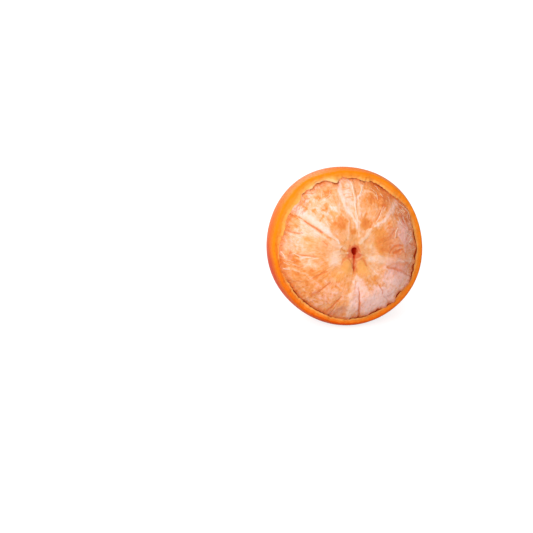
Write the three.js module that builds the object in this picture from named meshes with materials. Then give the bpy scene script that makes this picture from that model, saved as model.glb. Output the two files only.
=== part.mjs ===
// A part-peeled mandarin. The rind is opened at the blossom end and still cups the back of the fruit,
// where the calyx sits on the stem end. Thirteen segments stand in a ring round the open core.
// Millimetres, +Z up.
//
// Every piece is first shaped in the fruit's own frame: its origin is the middle of the equator, and
// its +Z runs along the fruit's axis from the stem end to the opened blossom end. One group then tips
// that frame forward, so that the opened end looks towards -Y and the fruit rests on its flat spot.
//
// "Turn" is the angle round the axis in degrees, clockwise from the top as seen from the opened end.
// "Latitude" is the angle above the equator in radians: pi/2 at the blossom end, -pi/2 at the stem end.
import * as THREE from "three";

// ---- the whole fruit -------------------------------------------------------------------------------
const FRUIT_RADIUS = 31; // outside of the rind at the equator
const BLOSSOM_HEIGHT = 24; // equator to the blossom end, had the rind still closed over it
const STEM_HEIGHT = 25.2; // equator to the stem end
const STEM_SQUARENESS = 2.3; // superellipse exponent of the stem half: over 2 has fuller shoulders
const AXIS_TILT = 19; // degrees that the axis points above the horizontal
const FLAT_SPOT_DEPTH = 1.5; // how far the fruit has settled where it rests
const GAP = 0.3; // clearance between neighbouring pieces

// The fruit isn't quite round: each wave swells the girth by a share of the radius, highest at its peak.
const GIRTH_WAVES = [
  { count: 2, share: 0.015, peak: 335 },
  { count: 4, share: 0.003, peak: 324 },
  { count: 5, share: 0.004, peak: 328 },
];

// ---- rind ------------------------------------------------------------------------------------------
const RIND_THICKNESS = 2.5; // at the equator
const RIND_STEM_THICKNESS = 3.1; // at the stem end
const RIM_HEIGHT = 7.1; // mean height of the torn edge above the equator
const RIM_WAVES = [
  { count: 3, rise: 0.45, peak: 20 },
  { count: 7, rise: 0.35, peak: 250 },
  { count: 13, rise: 0.25, peak: 95 },
];
const RIM_ROUNDING = 0.7; // radius of the rim's outer corner
const RIM_SLOPE = 0.35; // how much lower the torn face is at its inner corner
const DIMPLE = { depth: 1.3, radius: 6 }; // the hollow at the stem end
const FURROWS = { count: 9, depth: 0.3, radius: 8, spread: 4 }; // creases that fan out round the calyx
const RIND_COLUMNS = 60;
const OUTER_STEM_ROWS = 12;
const OUTER_BLOSSOM_ROWS = 3;
const INNER_ROWS = 9;

// ---- segments --------------------------------------------------------------------------------------
const FLESH_RADIUS = 27.8; // axis to the back of a segment, at the equator
const FLESH_BLOSSOM_HEIGHT = 22;
const FLESH_STEM_HEIGHT = 20.4;
const CREST_RADIUS = 9; // axis to the highest point of a segment's end
const SEGMENT_TURNS = [41, 29, 28, 14, 29, 29, 23, 23, 18, 27, 36, 50, 13]; // shares of the full turn
const FIRST_BORDER = 6; // turn of the border between the last segment and the first
const CORE_RADIUS = 1; // the open core at its two ends
const CORE_SHIFT = { x: -0.8, y: 0.4 }; // how far the core stands off the middle of the fruit
const CORE_BELLY = 1.6; // how much wider the open core is at mid-height
const EDGE_WIDTH = 0.3; // least thickness of a segment at its thin inner edge
const SHOULDER = 0.2; // exponent of a segment's end: smaller turns down into the core more sharply
const SIDE_ROUNDING = 1.3; // how far a segment's outline shrinks from its middle to its flat sides
const SIDE_SQUARENESS = 4; // superellipse exponent of that rounding
const SLICES = [-1, -0.93, -0.72, -0.36, 0, 0.36, 0.72, 0.93, 1]; // across a segment, side to side
const OUTLINE_POINTS = 30;

// ---- calyx -----------------------------------------------------------------------------------------
const CALYX_RADIUS = 2.9;
const CALYX_LOBES = 5;
const CALYX_NOTCH = 0.3; // share of the radius lost between two lobes
const CALYX_THICKNESS = 0.8;
const STALK_RADIUS = 1.3;
const STALK_HEIGHT = 1.5; // cut stub of the stalk, above the underside of the calyx
const CALYX_COLUMNS = 30;

const rad = THREE.MathUtils.degToRad;
const outward = (turn) => new THREE.Vector3(Math.sin(rad(turn)), Math.cos(rad(turn)), 0);

// ---- materials -------------------------------------------------------------------------------------
const rindSkin = new THREE.MeshStandardMaterial({ name: "rind", color: "#f5821f", roughness: 0.4 });
const membrane = new THREE.MeshStandardMaterial({ name: "flesh", color: "#f7b27c", roughness: 0.45 });
const calyxGreen = new THREE.MeshStandardMaterial({ name: "calyx", color: "#8a8443", roughness: 0.7 });

// ---- shared shapes ---------------------------------------------------------------------------------

// A closed skin over rings of points that all have the same count, with a pole point at either end.
function skinOver(firstPole, rings, lastPole) {
  const count = rings[0].length;
  const points = [firstPole, ...rings.flat(), lastPole];
  const at = (ring, i) => 1 + ring * count + (i % count);
  const faces = [];
  for (let i = 0; i < count; i++) {
    faces.push([0, at(0, i), at(0, i + 1)]);
    for (let ring = 0; ring < rings.length - 1; ring++) {
      faces.push([at(ring, i), at(ring + 1, i), at(ring + 1, i + 1)]);
      faces.push([at(ring, i), at(ring + 1, i + 1), at(ring, i + 1)]);
    }
    faces.push([points.length - 1, at(rings.length - 1, i + 1), at(rings.length - 1, i)]);
  }
  if (signedVolume(points, faces) < 0) faces.forEach((face) => face.reverse());
  const geometry = new THREE.BufferGeometry().setFromPoints(points).setIndex(faces.flat());
  geometry.computeVertexNormals();
  return geometry;
}

function signedVolume(points, faces) {
  const triple = ([a, b, c]) => points[a].dot(new THREE.Vector3().crossVectors(points[b], points[c]));
  return faces.reduce((sum, face) => sum + triple(face), 0) / 6;
}

// A point of the fruit at this radius and height, carried out or in by the girth's waves.
function fruitPoint(radius, height, turn) {
  const swell = GIRTH_WAVES.reduce(
    (sum, wave) => sum + wave.share * Math.cos(rad(wave.count * (turn - wave.peak))),
    1,
  );
  return outward(turn).multiplyScalar(radius * swell).setZ(height);
}

const turnsRound = (columns) => Array.from({ length: columns }, (_, i) => (360 * i) / columns);

// ---- rind ------------------------------------------------------------------------------------------

// A point of the rind this deep under its skin. Dimple and furrows mark the skin and not the inside.
function rindPoint(latitude, turn, depth) {
  const share = depth / RIND_THICKNESS;
  const equator = FRUIT_RADIUS - depth;
  if (latitude >= 0)
    return fruitPoint(
      equator * Math.cos(latitude),
      (BLOSSOM_HEIGHT - depth) * Math.sin(latitude),
      turn,
    );
  const bend = 2 / STEM_SQUARENESS;
  const radius = equator * Math.max(Math.cos(latitude), 0) ** bend;
  const stem = STEM_HEIGHT - share * RIND_STEM_THICKNESS;
  const height = -stem * Math.sin(-latitude) ** bend;
  const dimple = DIMPLE.depth * Math.exp(-((radius / DIMPLE.radius) ** 2));
  const fan = Math.exp(-(((radius - FURROWS.radius) / FURROWS.spread) ** 2));
  const furrow = FURROWS.depth * fan * Math.cos(rad(FURROWS.count * turn));
  return fruitPoint(radius, height + (1 - share) * (dimple + furrow), turn);
}

function rimHeight(turn) {
  return RIM_WAVES.reduce(
    (sum, wave) => sum + wave.rise * Math.cos(rad(wave.count * (turn - wave.peak))),
    RIM_HEIGHT,
  );
}

// The latitude at which a layer of the rind this deep reaches a height above the equator.
const latitudeAt = (height, depth) => Math.asin(height / (BLOSSOM_HEIGHT - depth));

// Presses the skin flat where it reaches past the surface that the fruit rests on.
function restOnFlatSpot(point) {
  const past = point.dot(down) - restDistance;
  return past > 0 ? point.addScaledVector(down, -past) : point;
}

function makeRind() {
  const turns = turnsRound(RIND_COLUMNS);
  const ring = (place) => turns.map((turn) => place(turn));
  const rings = [];
  for (let row = 1; row <= OUTER_STEM_ROWS; row++) {
    const latitude = (row / OUTER_STEM_ROWS - 1) * (Math.PI / 2);
    rings.push(ring((turn) => restOnFlatSpot(rindPoint(latitude, turn, 0))));
  }
  for (let row = 1; row <= OUTER_BLOSSOM_ROWS; row++) {
    const share = row / OUTER_BLOSSOM_ROWS;
    const edge = (turn) => latitudeAt(rimHeight(turn) - RIM_ROUNDING, 0);
    rings.push(ring((turn) => restOnFlatSpot(rindPoint(share * edge(turn), turn, 0))));
  }
  const torn = (drop, depth) => (turn) =>
    rindPoint(latitudeAt(rimHeight(turn) - drop, depth), turn, depth);
  rings.push(ring(torn(0.2 * RIM_ROUNDING, 0.4 * RIM_ROUNDING)));
  rings.push(ring(torn(0, 1.1 * RIM_ROUNDING)));
  rings.push(ring(torn(RIM_SLOPE, RIND_THICKNESS)));
  for (let row = 1; row < INNER_ROWS; row++) {
    const share = row / INNER_ROWS;
    const inside = (turn) => {
      const edge = latitudeAt(rimHeight(turn) - RIM_SLOPE, RIND_THICKNESS);
      return edge + share * (-Math.PI / 2 - edge);
    };
    rings.push(ring((turn) => rindPoint(inside(turn), turn, RIND_THICKNESS)));
  }
  const pole = (depth) => rindPoint(-Math.PI / 2, 0, depth);
  return skinOver(pole(0), rings, pole(RIND_THICKNESS));
}

// ---- segments --------------------------------------------------------------------------------------

// A segment's half-moon outline in the plane of the axis, as (radius, height). The angle runs from the
// back of the segment at 0 over its blossom tip at pi/2 to its thin inner edge at pi.
function halfMoon(angle, coreRadius) {
  const end = Math.sin(angle) > 0 ? FLESH_BLOSSOM_HEIGHT : FLESH_STEM_HEIGHT;
  const height = end * Math.sin(angle);
  const reach = Math.cos(angle);
  if (reach >= 0)
    return new THREE.Vector2(CREST_RADIUS + (FLESH_RADIUS - CREST_RADIUS) * reach, height);
  const inner = (CREST_RADIUS - coreRadius) * (-reach) ** SHOULDER;
  return new THREE.Vector2(CREST_RADIUS - inner + CORE_BELLY * reach ** 6, height);
}

// The same outline drawn in by a margin, which shrinks towards the core as the segment thins.
function halfMoonInside(angle, coreRadius, margin) {
  const step = 1e-3;
  const ahead = halfMoon(angle + step, coreRadius);
  const along = ahead.sub(halfMoon(angle - step, coreRadius)).normalize();
  const point = halfMoon(angle, coreRadius);
  const share = Math.min(point.x / CREST_RADIUS, 1);
  return point.addScaledVector(new THREE.Vector2(along.y, -along.x), -margin * share);
}

// A point of the flesh. The core stands a little off the middle, and the flesh leans over with it.
function fleshPoint(radius, height, turn) {
  const share = 1 - radius / FLESH_RADIUS;
  const shift = new THREE.Vector3(CORE_SHIFT.x, CORE_SHIFT.y, 0);
  return fruitPoint(radius, height, turn).addScaledVector(shift, share);
}

function makeSegment(startTurn, width) {
  const middle = startTurn + width / 2;
  const coreRadius = Math.max(CORE_RADIUS, (EDGE_WIDTH + GAP) / rad(width));
  const place = (outlinePoint, slice) => {
    const turn = middle + (slice * width) / 2;
    const sideways = outward(turn + 90).multiplyScalar((-slice * GAP) / 2);
    return fleshPoint(outlinePoint.x, outlinePoint.y, turn).add(sideways);
  };
  const rings = SLICES.map((slice) => {
    const rounded = 1 - (1 - Math.abs(slice) ** SIDE_SQUARENESS) ** (1 / SIDE_SQUARENESS);
    return Array.from({ length: OUTLINE_POINTS }, (_, i) => {
      const angle = (2 * Math.PI * i) / OUTLINE_POINTS;
      return place(halfMoonInside(angle, coreRadius, SIDE_ROUNDING * rounded), slice);
    });
  });
  const heart = new THREE.Vector2((FLESH_RADIUS + CREST_RADIUS) / 2, 0);
  return skinOver(place(heart, -1), rings, place(heart, 1));
}

// ---- calyx -----------------------------------------------------------------------------------------

// A five-lobed star with the cut stub of the stalk on it. It grows away from the fruit, towards -Z.
function makeCalyx() {
  const turns = turnsRound(CALYX_COLUMNS);
  const ring = (radius, height, lobed) =>
    turns.map((turn) => {
      const notch = lobed * CALYX_NOTCH * (0.5 - 0.5 * Math.cos(rad(CALYX_LOBES * turn)));
      return outward(turn).multiplyScalar(radius * (1 - notch)).setZ(-height);
    });
  const rings = [
    ring(0.9 * CALYX_RADIUS, 0, 1),
    ring(CALYX_RADIUS, 0.4 * CALYX_THICKNESS, 1),
    ring(0.92 * CALYX_RADIUS, 0.8 * CALYX_THICKNESS, 1),
    ring(1.3 * STALK_RADIUS, CALYX_THICKNESS, 0.3),
    ring(STALK_RADIUS, 0.9 * STALK_HEIGHT, 0),
    ring(0.8 * STALK_RADIUS, STALK_HEIGHT, 0),
  ];
  const pole = (height) => new THREE.Vector3(0, 0, -height);
  return skinOver(pole(0), rings, pole(0.9 * STALK_HEIGHT));
}

// ---- where the fruit rests -------------------------------------------------------------------------

// Straight down in the fruit's own frame. The skin's lowest point is found as for a plain spheroid,
// and the surface that the fruit rests on presses a flat spot there.
const tilt = rad(AXIS_TILT);
const down = new THREE.Vector3(0, -Math.cos(tilt), -Math.sin(tilt));
const depthBelow = Math.hypot(FRUIT_RADIUS * down.y, STEM_HEIGHT * down.z);
const lowest = new THREE.Vector3(0, FRUIT_RADIUS ** 2 * down.y, STEM_HEIGHT ** 2 * down.z);
lowest.divideScalar(depthBelow);
const restDistance = depthBelow - FLAT_SPOT_DEPTH;

// ---- the fruit -------------------------------------------------------------------------------------
const fruit = new THREE.Group();

function add(name, geometry, material) {
  const mesh = new THREE.Mesh(geometry, material);
  mesh.name = name;
  fruit.add(mesh);
  return mesh;
}

add("rind", makeRind(), rindSkin);

let border = FIRST_BORDER;
SEGMENT_TURNS.forEach((width, i) => {
  add(`segment_${String(i + 1).padStart(2, "0")}`, makeSegment(border, width), membrane);
  border += width;
});

const calyx = add("calyx", makeCalyx(), calyxGreen);
calyx.position.z = rindPoint(-Math.PI / 2, 0, 0).z - GAP;

// The middle of the flat spot is the origin.
fruit.rotation.x = Math.PI / 2 - tilt;
fruit.position.set(0, -lowest.applyEuler(fruit.rotation).y, restDistance);

const mandarin = new THREE.Group();
mandarin.add(fruit);
export default mandarin;
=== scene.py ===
# %% [markdown]
# # A part-peeled mandarin
#
# The fruit leans back on a flat spot. Its rind is torn open at the blossom end, so a ring of segments shows,
# with white pith on them and a small dark hole where the core was. This lesson builds the rind, the segments,
# the pith threads and the calyx as fine meshes over the plain solids of the frame. The forms come from a few
# formulas, so every piece stays where its solid is. The marks that make it this one fruit, such as a gap
# beside the rim or a band of pith, come from given lists.

# %% Load the frame
import math

import bpy
import numpy as np
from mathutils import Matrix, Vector


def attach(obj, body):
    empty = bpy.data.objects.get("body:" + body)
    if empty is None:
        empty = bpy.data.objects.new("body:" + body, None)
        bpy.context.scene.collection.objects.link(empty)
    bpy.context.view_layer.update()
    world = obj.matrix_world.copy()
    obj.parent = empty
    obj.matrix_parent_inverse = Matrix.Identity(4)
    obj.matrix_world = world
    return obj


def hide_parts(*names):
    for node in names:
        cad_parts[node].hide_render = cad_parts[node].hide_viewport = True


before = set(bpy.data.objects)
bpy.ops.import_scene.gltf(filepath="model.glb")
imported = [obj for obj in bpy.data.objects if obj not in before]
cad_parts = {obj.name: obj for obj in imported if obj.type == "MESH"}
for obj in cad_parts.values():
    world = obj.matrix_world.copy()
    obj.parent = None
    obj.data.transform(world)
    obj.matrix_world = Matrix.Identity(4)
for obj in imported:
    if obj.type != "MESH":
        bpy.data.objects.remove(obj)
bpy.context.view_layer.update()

# %% [markdown]
# ## The fruit's own frame
#
# A fruit is easiest to shape round its own axis, which runs from the stem end to the blossom end. So
# every form is worked out there first, in millimetres: a turn goes clockwise from the top as seen from
# the opened end, and a height is measured along the axis from the equator. One function then leans the
# points back and sets them on the table, in metres. The sizes are those of the plain solids.

# %% Sizes of the whole fruit, in millimetres
MM = 0.001
FRUIT_RADIUS = 31.0
BLOSSOM_HEIGHT = 24.0
STEM_HEIGHT = 25.2
STEM_SQUARENESS = 2.3
AXIS_TILT = math.radians(19)  # how far the opened end looks up
FLAT_SPOT_DEPTH = 1.5
GIRTH_WAVES = [(2, 0.015, 335), (4, 0.003, 324), (5, 0.004, 328)]  # count, share, turn of a peak


# %% From the fruit's frame to the table
def lowest_point():
    """How far the lowest point of the skin is below the middle, and how far in front of it."""
    across, along = FRUIT_RADIUS * math.cos(AXIS_TILT), STEM_HEIGHT * math.sin(AXIS_TILT)
    below = math.hypot(across, along)
    lean = math.sin(AXIS_TILT) * math.cos(AXIS_TILT)
    return below, (FRUIT_RADIUS**2 - STEM_HEIGHT**2) * lean / below


BELOW, IN_FRONT = lowest_point()
MIDDLE = (0.0, IN_FRONT, BELOW - FLAT_SPOT_DEPTH)


def to_table(x, y, z):
    """Points of the fruit's frame, in millimetres, as points on the table, in metres."""
    up, forward = math.sin(AXIS_TILT), math.cos(AXIS_TILT)
    return MM * np.stack(
        [x + MIDDLE[0], y * up - z * forward + MIDDLE[1], y * forward + z * up + MIDDLE[2]],
        axis=-1,
    )


def fruit_point(radius, height, turn):
    """A point at this radius and height, carried out or in by the waves of the girth."""
    swell = 1 + sum(share * np.cos(count * (turn - math.radians(peak))) for count, share, peak in GIRTH_WAVES)
    return radius * swell * np.sin(turn), radius * swell * np.cos(turn), height + 0 * turn


print("middle of the fruit at", [round(v, 3) for v in MIDDLE], "mm")


# %% [markdown]
# ## Helpers for fine meshes
#
# The rind, the segments and the calyx are all closed skins over rings of points, with a pole at each
# end. The helper checks the signed volume, because a skin that is inside out renders black after an
# export. Smooth unevenness comes from a sum of sines in seeded directions. It is as good as a noise
# texture for soft lumps, and it gives the same fruit on every run.


# %% A closed skin over rings of points
def closed_skin(name, first_pole, rings, last_pole, values):
    """A smooth mesh over rings of points. values holds one number per point of the rings, by name."""
    count, columns = rings.shape[:2]
    points = np.vstack([first_pole, rings.reshape(-1, 3), last_pole])
    here = np.arange(columns)
    there = (here + 1) % columns
    row = 1 + columns * np.arange(count - 1)[:, None]
    quads = np.stack([row + here, row + columns + here, row + columns + there, row + there], axis=-1)
    start = np.stack([0 * here, 1 + here, 1 + there], axis=-1)
    end_row = 1 + columns * (count - 1)
    end = np.stack([0 * here + len(points) - 1, end_row + there, end_row + here], axis=-1)
    a, b, c = points[quads[..., 0]], points[quads[..., 1]], points[quads[..., 2]]
    faces = [*start.tolist(), *quads.reshape(-1, 4).tolist(), *end.tolist()]
    if np.einsum("...i,...i->...", a - points.mean(axis=0), np.cross(b - a, c - a)).sum() < 0:
        faces = [face[::-1] for face in faces]
    mesh = bpy.data.meshes.new(name)
    mesh.from_pydata(points.tolist(), [], faces)
    mesh.shade_smooth()
    for value_name, value in values.items():
        ends = np.concatenate([[value[0].mean()], value.ravel(), [value[-1].mean()]])
        mesh.attributes.new(value_name, "FLOAT", "POINT").data.foreach_set("value", ends)
    return mesh


# %% Seeded unevenness, and soft steps
LUMP_LENGTHS = (0.7, 1.6)  # the shortest and longest waves, as shares of the wavelength


def lumps(x, y, wavelength, seed, waves=14):
    """A smooth uneven field, mostly between -1 and 1, with lumps about a wavelength across."""
    rng = np.random.default_rng(seed)
    field = 0 * x
    for _ in range(waves):
        angle, phase = rng.uniform(0, 2 * math.pi, 2)
        length = wavelength * rng.uniform(*LUMP_LENGTHS)
        along = (x * math.cos(angle) + y * math.sin(angle)) / length
        field = field + np.sin(2 * math.pi * along + phase)
    return field / math.sqrt(waves)


def soft_step(low, high, value):
    """0 below low, 1 above high, and smooth between them."""
    share = np.clip((value - low) / (high - low), 0, 1)
    return share * share * (3 - 2 * share)


# %% [markdown]
# ## The rind
#
# Mandarin rind is thin and leathery outside and spongy white inside. Here it is a cup with a torn rim:
# the skin rounds over into a torn face, which falls a little towards the inside, and a wall goes down
# from its inner corner. The rim is one row of points in the skin, so a formula for its height by turn
# shapes it. A sum of a few waves is uneven enough for a rim that fingers tore, and the same sum shapes
# the plain solid.

# %% Sizes of the rind, in millimetres
RIND_THICKNESS = 2.5
RIND_STEM_THICKNESS = 3.1
SKIN_INSET = 0.06  # keeps the round skin inside the flat facets of the plain solid
RIM_HEIGHT = 7.1
RIM_ROUNDING = 0.7
RIM_SLOPE = 0.35
DIMPLE = (1.3, 6.0)  # depth and radius of the hollow at the stem end
FURROWS = (9, 0.3, 8.0, 4.0)  # count, depth, radius and spread of the creases round the calyx

# Waves of the rim: count, rise, and turn of a peak in degrees.
RIM_WAVES = [(3, 0.45, 20), (7, 0.35, 250), (13, 0.25, 95), (29, 0.10, 40), (47, 0.07, 10), (83, 0.04, 0)]


# %% Points of the rind
def rind_point(latitude, turn, depth):
    """A point of the rind this deep under its skin. Dimple and furrows mark only the skin."""
    latitude, turn, depth = np.broadcast_arrays(latitude, turn, depth)
    equator = FRUIT_RADIUS - SKIN_INSET - depth
    blossom_radius = equator * np.cos(latitude)
    blossom_height = (BLOSSOM_HEIGHT - depth) * np.sin(latitude)
    share = depth / RIND_THICKNESS
    bend = 2 / STEM_SQUARENESS
    stem_radius = equator * np.maximum(np.cos(latitude), 0) ** bend
    stem = STEM_HEIGHT - SKIN_INSET - share * RIND_STEM_THICKNESS
    stem_height = -stem * np.maximum(np.sin(-latitude), 0) ** bend
    dimple = DIMPLE[0] * np.exp(-((stem_radius / DIMPLE[1]) ** 2))
    count, furrow_depth, furrow_radius, spread = FURROWS
    furrow = furrow_depth * np.exp(-(((stem_radius - furrow_radius) / spread) ** 2)) * np.cos(count * turn)
    stem_height = stem_height + (1 - share) * (dimple + furrow)
    on_stem_half = latitude < 0
    radius = np.where(on_stem_half, stem_radius, blossom_radius)
    return fruit_point(radius, np.where(on_stem_half, stem_height, blossom_height), turn)


def rim_height(turn):
    waves = [rise * np.cos(count * (turn - math.radians(peak))) for count, rise, peak in RIM_WAVES]
    return RIM_HEIGHT + sum(waves)


def latitude_at(height, depth):
    """The latitude of a point of the rind that stands this high on the blossom half."""
    return np.arcsin(height / (BLOSSOM_HEIGHT - depth))


rim_heights = rim_height(np.radians(np.arange(360)))
print("rim between", round(rim_heights.min(), 2), "and", round(rim_heights.max(), 2), "mm above the equator")

# %% [markdown]
# ## What changes round the rim
#
# Where the rind tore off clean, its inner corner stands out from the flesh, and where it tore late, a thin
# flap of it lies on the flesh. In some places the flesh has come away from it and leaves a gap, which is
# painted dark as shade, and elsewhere white pith still holds the two together. The colour isn't even either:
# the skin is golden beside the upper rim, and down the lower sides it is painted a deeper orange, as painted
# shade and painted red reflected light. No formula would put these where they are on this fruit. So each is a
# list by turn, in degrees, and one function reads such a list.


# %% Reading a list by turn
def by_turn(stops, turn):
    """A number by turn, from a list of turns in degrees and their numbers."""
    turns, numbers = zip(*stops)
    return np.interp(np.degrees(turn), turns, numbers, period=360)


# %% The inner corner of the rim: turn, and how far out it stands from its plain place
RIM_CORNER = [
    (0, 0.0), (8, 0.1), (15, -0.6), (22, 0.0), (35, -0.2), (45, -0.3), (54, 0.5), (62, 0.9), (70, 0.2),
    (77, -0.3), (86, 0.1), (95, 0.7), (106, 0.1), (121, 1.1), (133, 0.0), (146, 1.0), (160, 0.2),
    (172, 0.6), (203, 0.6), (222, 0.0), (236, 0.7), (243, 0.2), (255, 1.0), (265, 0.6), (275, 0.0),
    (289, -0.7), (299, -0.2), (311, -1.2), (319, -0.8), (324, -0.2), (331, -0.9), (337, 0.3), (344, 0.0),
    (351, -1.5), (355, -0.4),
]
CORNER_LUMPS = (0.1, 2.0)  # depth and length of its fine unevenness


def rim_corner(turn):
    """How far the inner corner of the rim stands out from its plain place, in millimetres."""
    depth, length = CORNER_LUMPS
    ragged = depth * lumps(FRUIT_RADIUS * np.cos(turn), FRUIT_RADIUS * np.sin(turn), length, seed=5)
    return by_turn(RIM_CORNER, turn) + ragged


# %% Gaps between the rim and the flesh: turn, half width in degrees, and millimetres
RIM_GAPS = [
    (350, 3, 0.4), (342, 7, 0.2), (331, 2.5, 0.4), (8, 7, 0.12), (14, 3, 0.45), (30, 12, 0.12),
    (98, 5, 0.7), (86, 7, 0.25), (110, 3, 0.5), (118, 5, 0.4), (136, 4, 0.45), (147, 3, 0.5),
    (156, 4, 0.55), (163, 3, 0.35), (172, 9, 0.12), (179, 3, 0.4), (198, 8, 0.15), (215, 12, 0.25),
    (233, 8, 0.3), (243, 3, 0.25), (286, 2, 0.3), (323, 2, 0.2),
]
GAP_ENDS = (0.4, 1.3)  # where a gap starts and ends closing, in half widths


def rim_gap(turn):
    """How far the flesh is from the inner corner of the rim, in millimetres."""
    gap = 0 * turn
    for middle, half_width, amount in RIM_GAPS:
        off = np.abs((np.degrees(turn) - middle + 180) % 360 - 180)
        closing = soft_step(GAP_ENDS[0] * half_width, GAP_ENDS[1] * half_width, off)
        gap = np.maximum(gap, amount * (1 - closing))
    return gap


print("gaps:", len(RIM_GAPS), "and the widest is", max(gap[2] for gap in RIM_GAPS), "mm")

# %% Colour of the rind round the fruit: turn and amount
# How golden the skin is beside the rim.
RIM_GOLD = [
    (0, 0.9), (75, 0.9), (95, 0.6), (150, 0.4), (180, 0.1), (200, 0.1), (235, 0.5), (270, 1.0),
    (340, 1.0),
]
# How many millimetres deeper the torn face seems to lie, which makes it creamier, or more golden.
RIM_CREAM = [
    (0, 0.0), (110, 0.0), (125, -0.3), (165, -0.3), (180, 0.0), (318, 0.0), (330, 0.4), (347, 0.8),
    (354, 0),
]
CREAM_DEPTHS = (0.3, 1.2)  # where below the skin that starts and is in full
# How deep an orange the skin is painted down the lower sides, as painted shade and painted red reflected
# light. It fades with the distance below the rim, in millimetres.
DEEP_SIDE_SHADE = [
    (0, 0.0), (40, 0.3), (60, 0.5), (90, 0.5), (120, 0.55), (150, 0.65), (185, 0.8), (230, 0.85),
    (245, 1.0), (262, 1.0), (270, 0.8), (280, 0.45), (292, 0.18), (310, 0.0),
]
DEEP_REACH = (12.0, 30.0)
DEEP_FADE = 0.7

# %% Rows of points over the rind, from the stem end round the rim and back inside
RIND_COLUMNS = 540
SKIN_STEM_ROWS = 122
SKIN_RIM_ROWS = 20
TORN_DEPTHS = np.array([0.08, 0.2, 0.35, 0.55, 0.8, 1.1, 1.4, 1.7, 2.0, 2.25, 2.4, 2.5])
WALL_DROPS = [0.2, 0.45, 0.8, 1.3, 2.0, 3.0, 4.5]  # how far below the rim
CUP_ROWS = 13
TORN_LUMPS = (0.12, 2.2, 31, 3)  # depth, length, and the scales of turn and of depth in it
WALL_LEAN = 0.15  # how far the wall reaches into the flesh, so that every gap has a floor
LEAN_DROPS = (0.1, 0.4, 2.5)  # the wall leans from the first drop to the second, and more for a wide gap


def moved_out(point, out, lift):
    """The point moved out from the axis and up along it, in millimetres."""
    x, y, z = point
    return x * (1 + out / FRUIT_RADIUS), y * (1 + out / FRUIT_RADIUS), z + lift


def skin_rows(turn):
    stem_latitudes = np.linspace(-math.pi / 2, 0, SKIN_STEM_ROWS, endpoint=False)[1:]
    edge = latitude_at(rim_height(turn) - RIM_ROUNDING, 0)
    rim_latitudes = [share * edge for share in np.linspace(0, 1, SKIN_RIM_ROWS)]
    return [rind_point(latitude, turn, 0) for latitude in [*stem_latitudes, *rim_latitudes]]


def torn_rows(turn, corner, flap):
    """Rows over the rounded edge and across the torn face, to its inner corner."""
    lump_depth, lump_length, by_turn_scale, by_depth_scale = TORN_LUMPS
    rows = []
    for depth in TORN_DEPTHS:
        rounding = 1 - math.sqrt(1 - (1 - min(depth / RIM_ROUNDING, 1)) ** 2)
        share = (depth / RIND_THICKNESS) ** 2
        uneven = lumps(by_turn_scale * turn, by_depth_scale * depth + 0 * turn, lump_length, seed=11)
        ragged = lump_depth * uneven * min(2 * depth, 1)
        drop = RIM_ROUNDING * rounding + RIM_SLOPE * share + ragged
        point = rind_point(latitude_at(rim_height(turn) - drop, depth), turn, depth)
        rows.append(moved_out(point, share * corner, share * flap))
    return rows


def wall_rows(turn, corner, flap):
    """Rows down the wall inside, which leans in to the flesh below a gap, and on round the cup."""
    gap, corner_height = rim_gap(turn), rim_height(turn) - RIM_SLOPE
    first, last, for_gap = LEAN_DROPS
    rows = []
    for drop in WALL_DROPS:
        point = rind_point(latitude_at(corner_height - drop, RIND_THICKNESS), turn, RIND_THICKNESS)
        lean = (gap + WALL_LEAN) * soft_step(first, last + for_gap * gap, drop)
        fade = max(1 - drop / WALL_DROPS[-1], 0)
        rows.append(moved_out(point, fade * (corner - lean), fade * flap))
    wall_end = latitude_at(corner_height - WALL_DROPS[-1], RIND_THICKNESS)
    for share in np.linspace(0, 1, CUP_ROWS, endpoint=False)[1:]:
        rows.append(rind_point(wall_end + share * (-math.pi / 2 - wall_end), turn, RIND_THICKNESS))
    return rows


# %% The rind as one closed skin
FLAP_RISE = 2.4  # how much an inner corner climbs the flesh for each millimetre that it leans in
BELOW_RIM_MOST = 30  # millimetres


def make_rind():
    turn = np.radians(np.arange(RIND_COLUMNS) * 360 / RIND_COLUMNS)
    corner = rim_corner(turn)
    flap = -FLAP_RISE * np.minimum(corner, 0)
    skin, torn, wall = skin_rows(turn), torn_rows(turn, corner, flap), wall_rows(turn, corner, flap)
    rows = [*skin, *torn, *wall]
    rings = np.array([to_table(*row) for row in rows])
    rings[..., 2] = np.maximum(rings[..., 2], 0)
    poles = [to_table(*rind_point(-math.pi / 2, 0.0, depth)) for depth in (0, RIND_THICKNESS)]
    depths = np.concatenate([np.zeros(len(skin)), TORN_DEPTHS, np.full(len(wall), RIND_THICKNESS)])
    below_rim = rim_height(turn) - np.array([row[2] + 0 * turn for row in rows])
    values = {
        "peel_depth": np.repeat(depths[:, None], RIND_COLUMNS, axis=1),
        "below_rim": np.clip(below_rim, 0, BELOW_RIM_MOST),
        "rim_gold": by_turn(RIM_GOLD, turn) + 0 * below_rim,
        "rim_cream": by_turn(RIM_CREAM, turn) * soft_step(*CREAM_DEPTHS, depths)[:, None],
        "deep_side_shade": by_turn(DEEP_SIDE_SHADE, turn) * (1 - DEEP_FADE * soft_step(*DEEP_REACH, below_rim)),
    }
    return closed_skin("rind_fine", poles[0], rings, poles[1], values)


rind_mesh = make_rind()
print("rind:", len(rind_mesh.polygons), "faces")

# %% [markdown]
# ## Building node trees
#
# Geometry and shader trees are both built in code, so one small function adds a node, sets its options
# and fills its inputs. An input given another node's socket is linked to it. Sums and products are so
# common in these trees that they get short functions of their own. Another function makes a group with
# its inputs and their default values, and the last runs a geometry tree and keeps its result as a mesh.


# %% Nodes, sums and products
def set_inputs(tree, node, inputs):
    """inputs maps a socket's name or index to its value, or to the socket that it is linked to."""
    for socket, value in inputs.items():
        if isinstance(value, bpy.types.NodeSocket):
            tree.links.new(value, node.inputs[socket])
        else:
            node.inputs[socket].default_value = value


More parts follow.
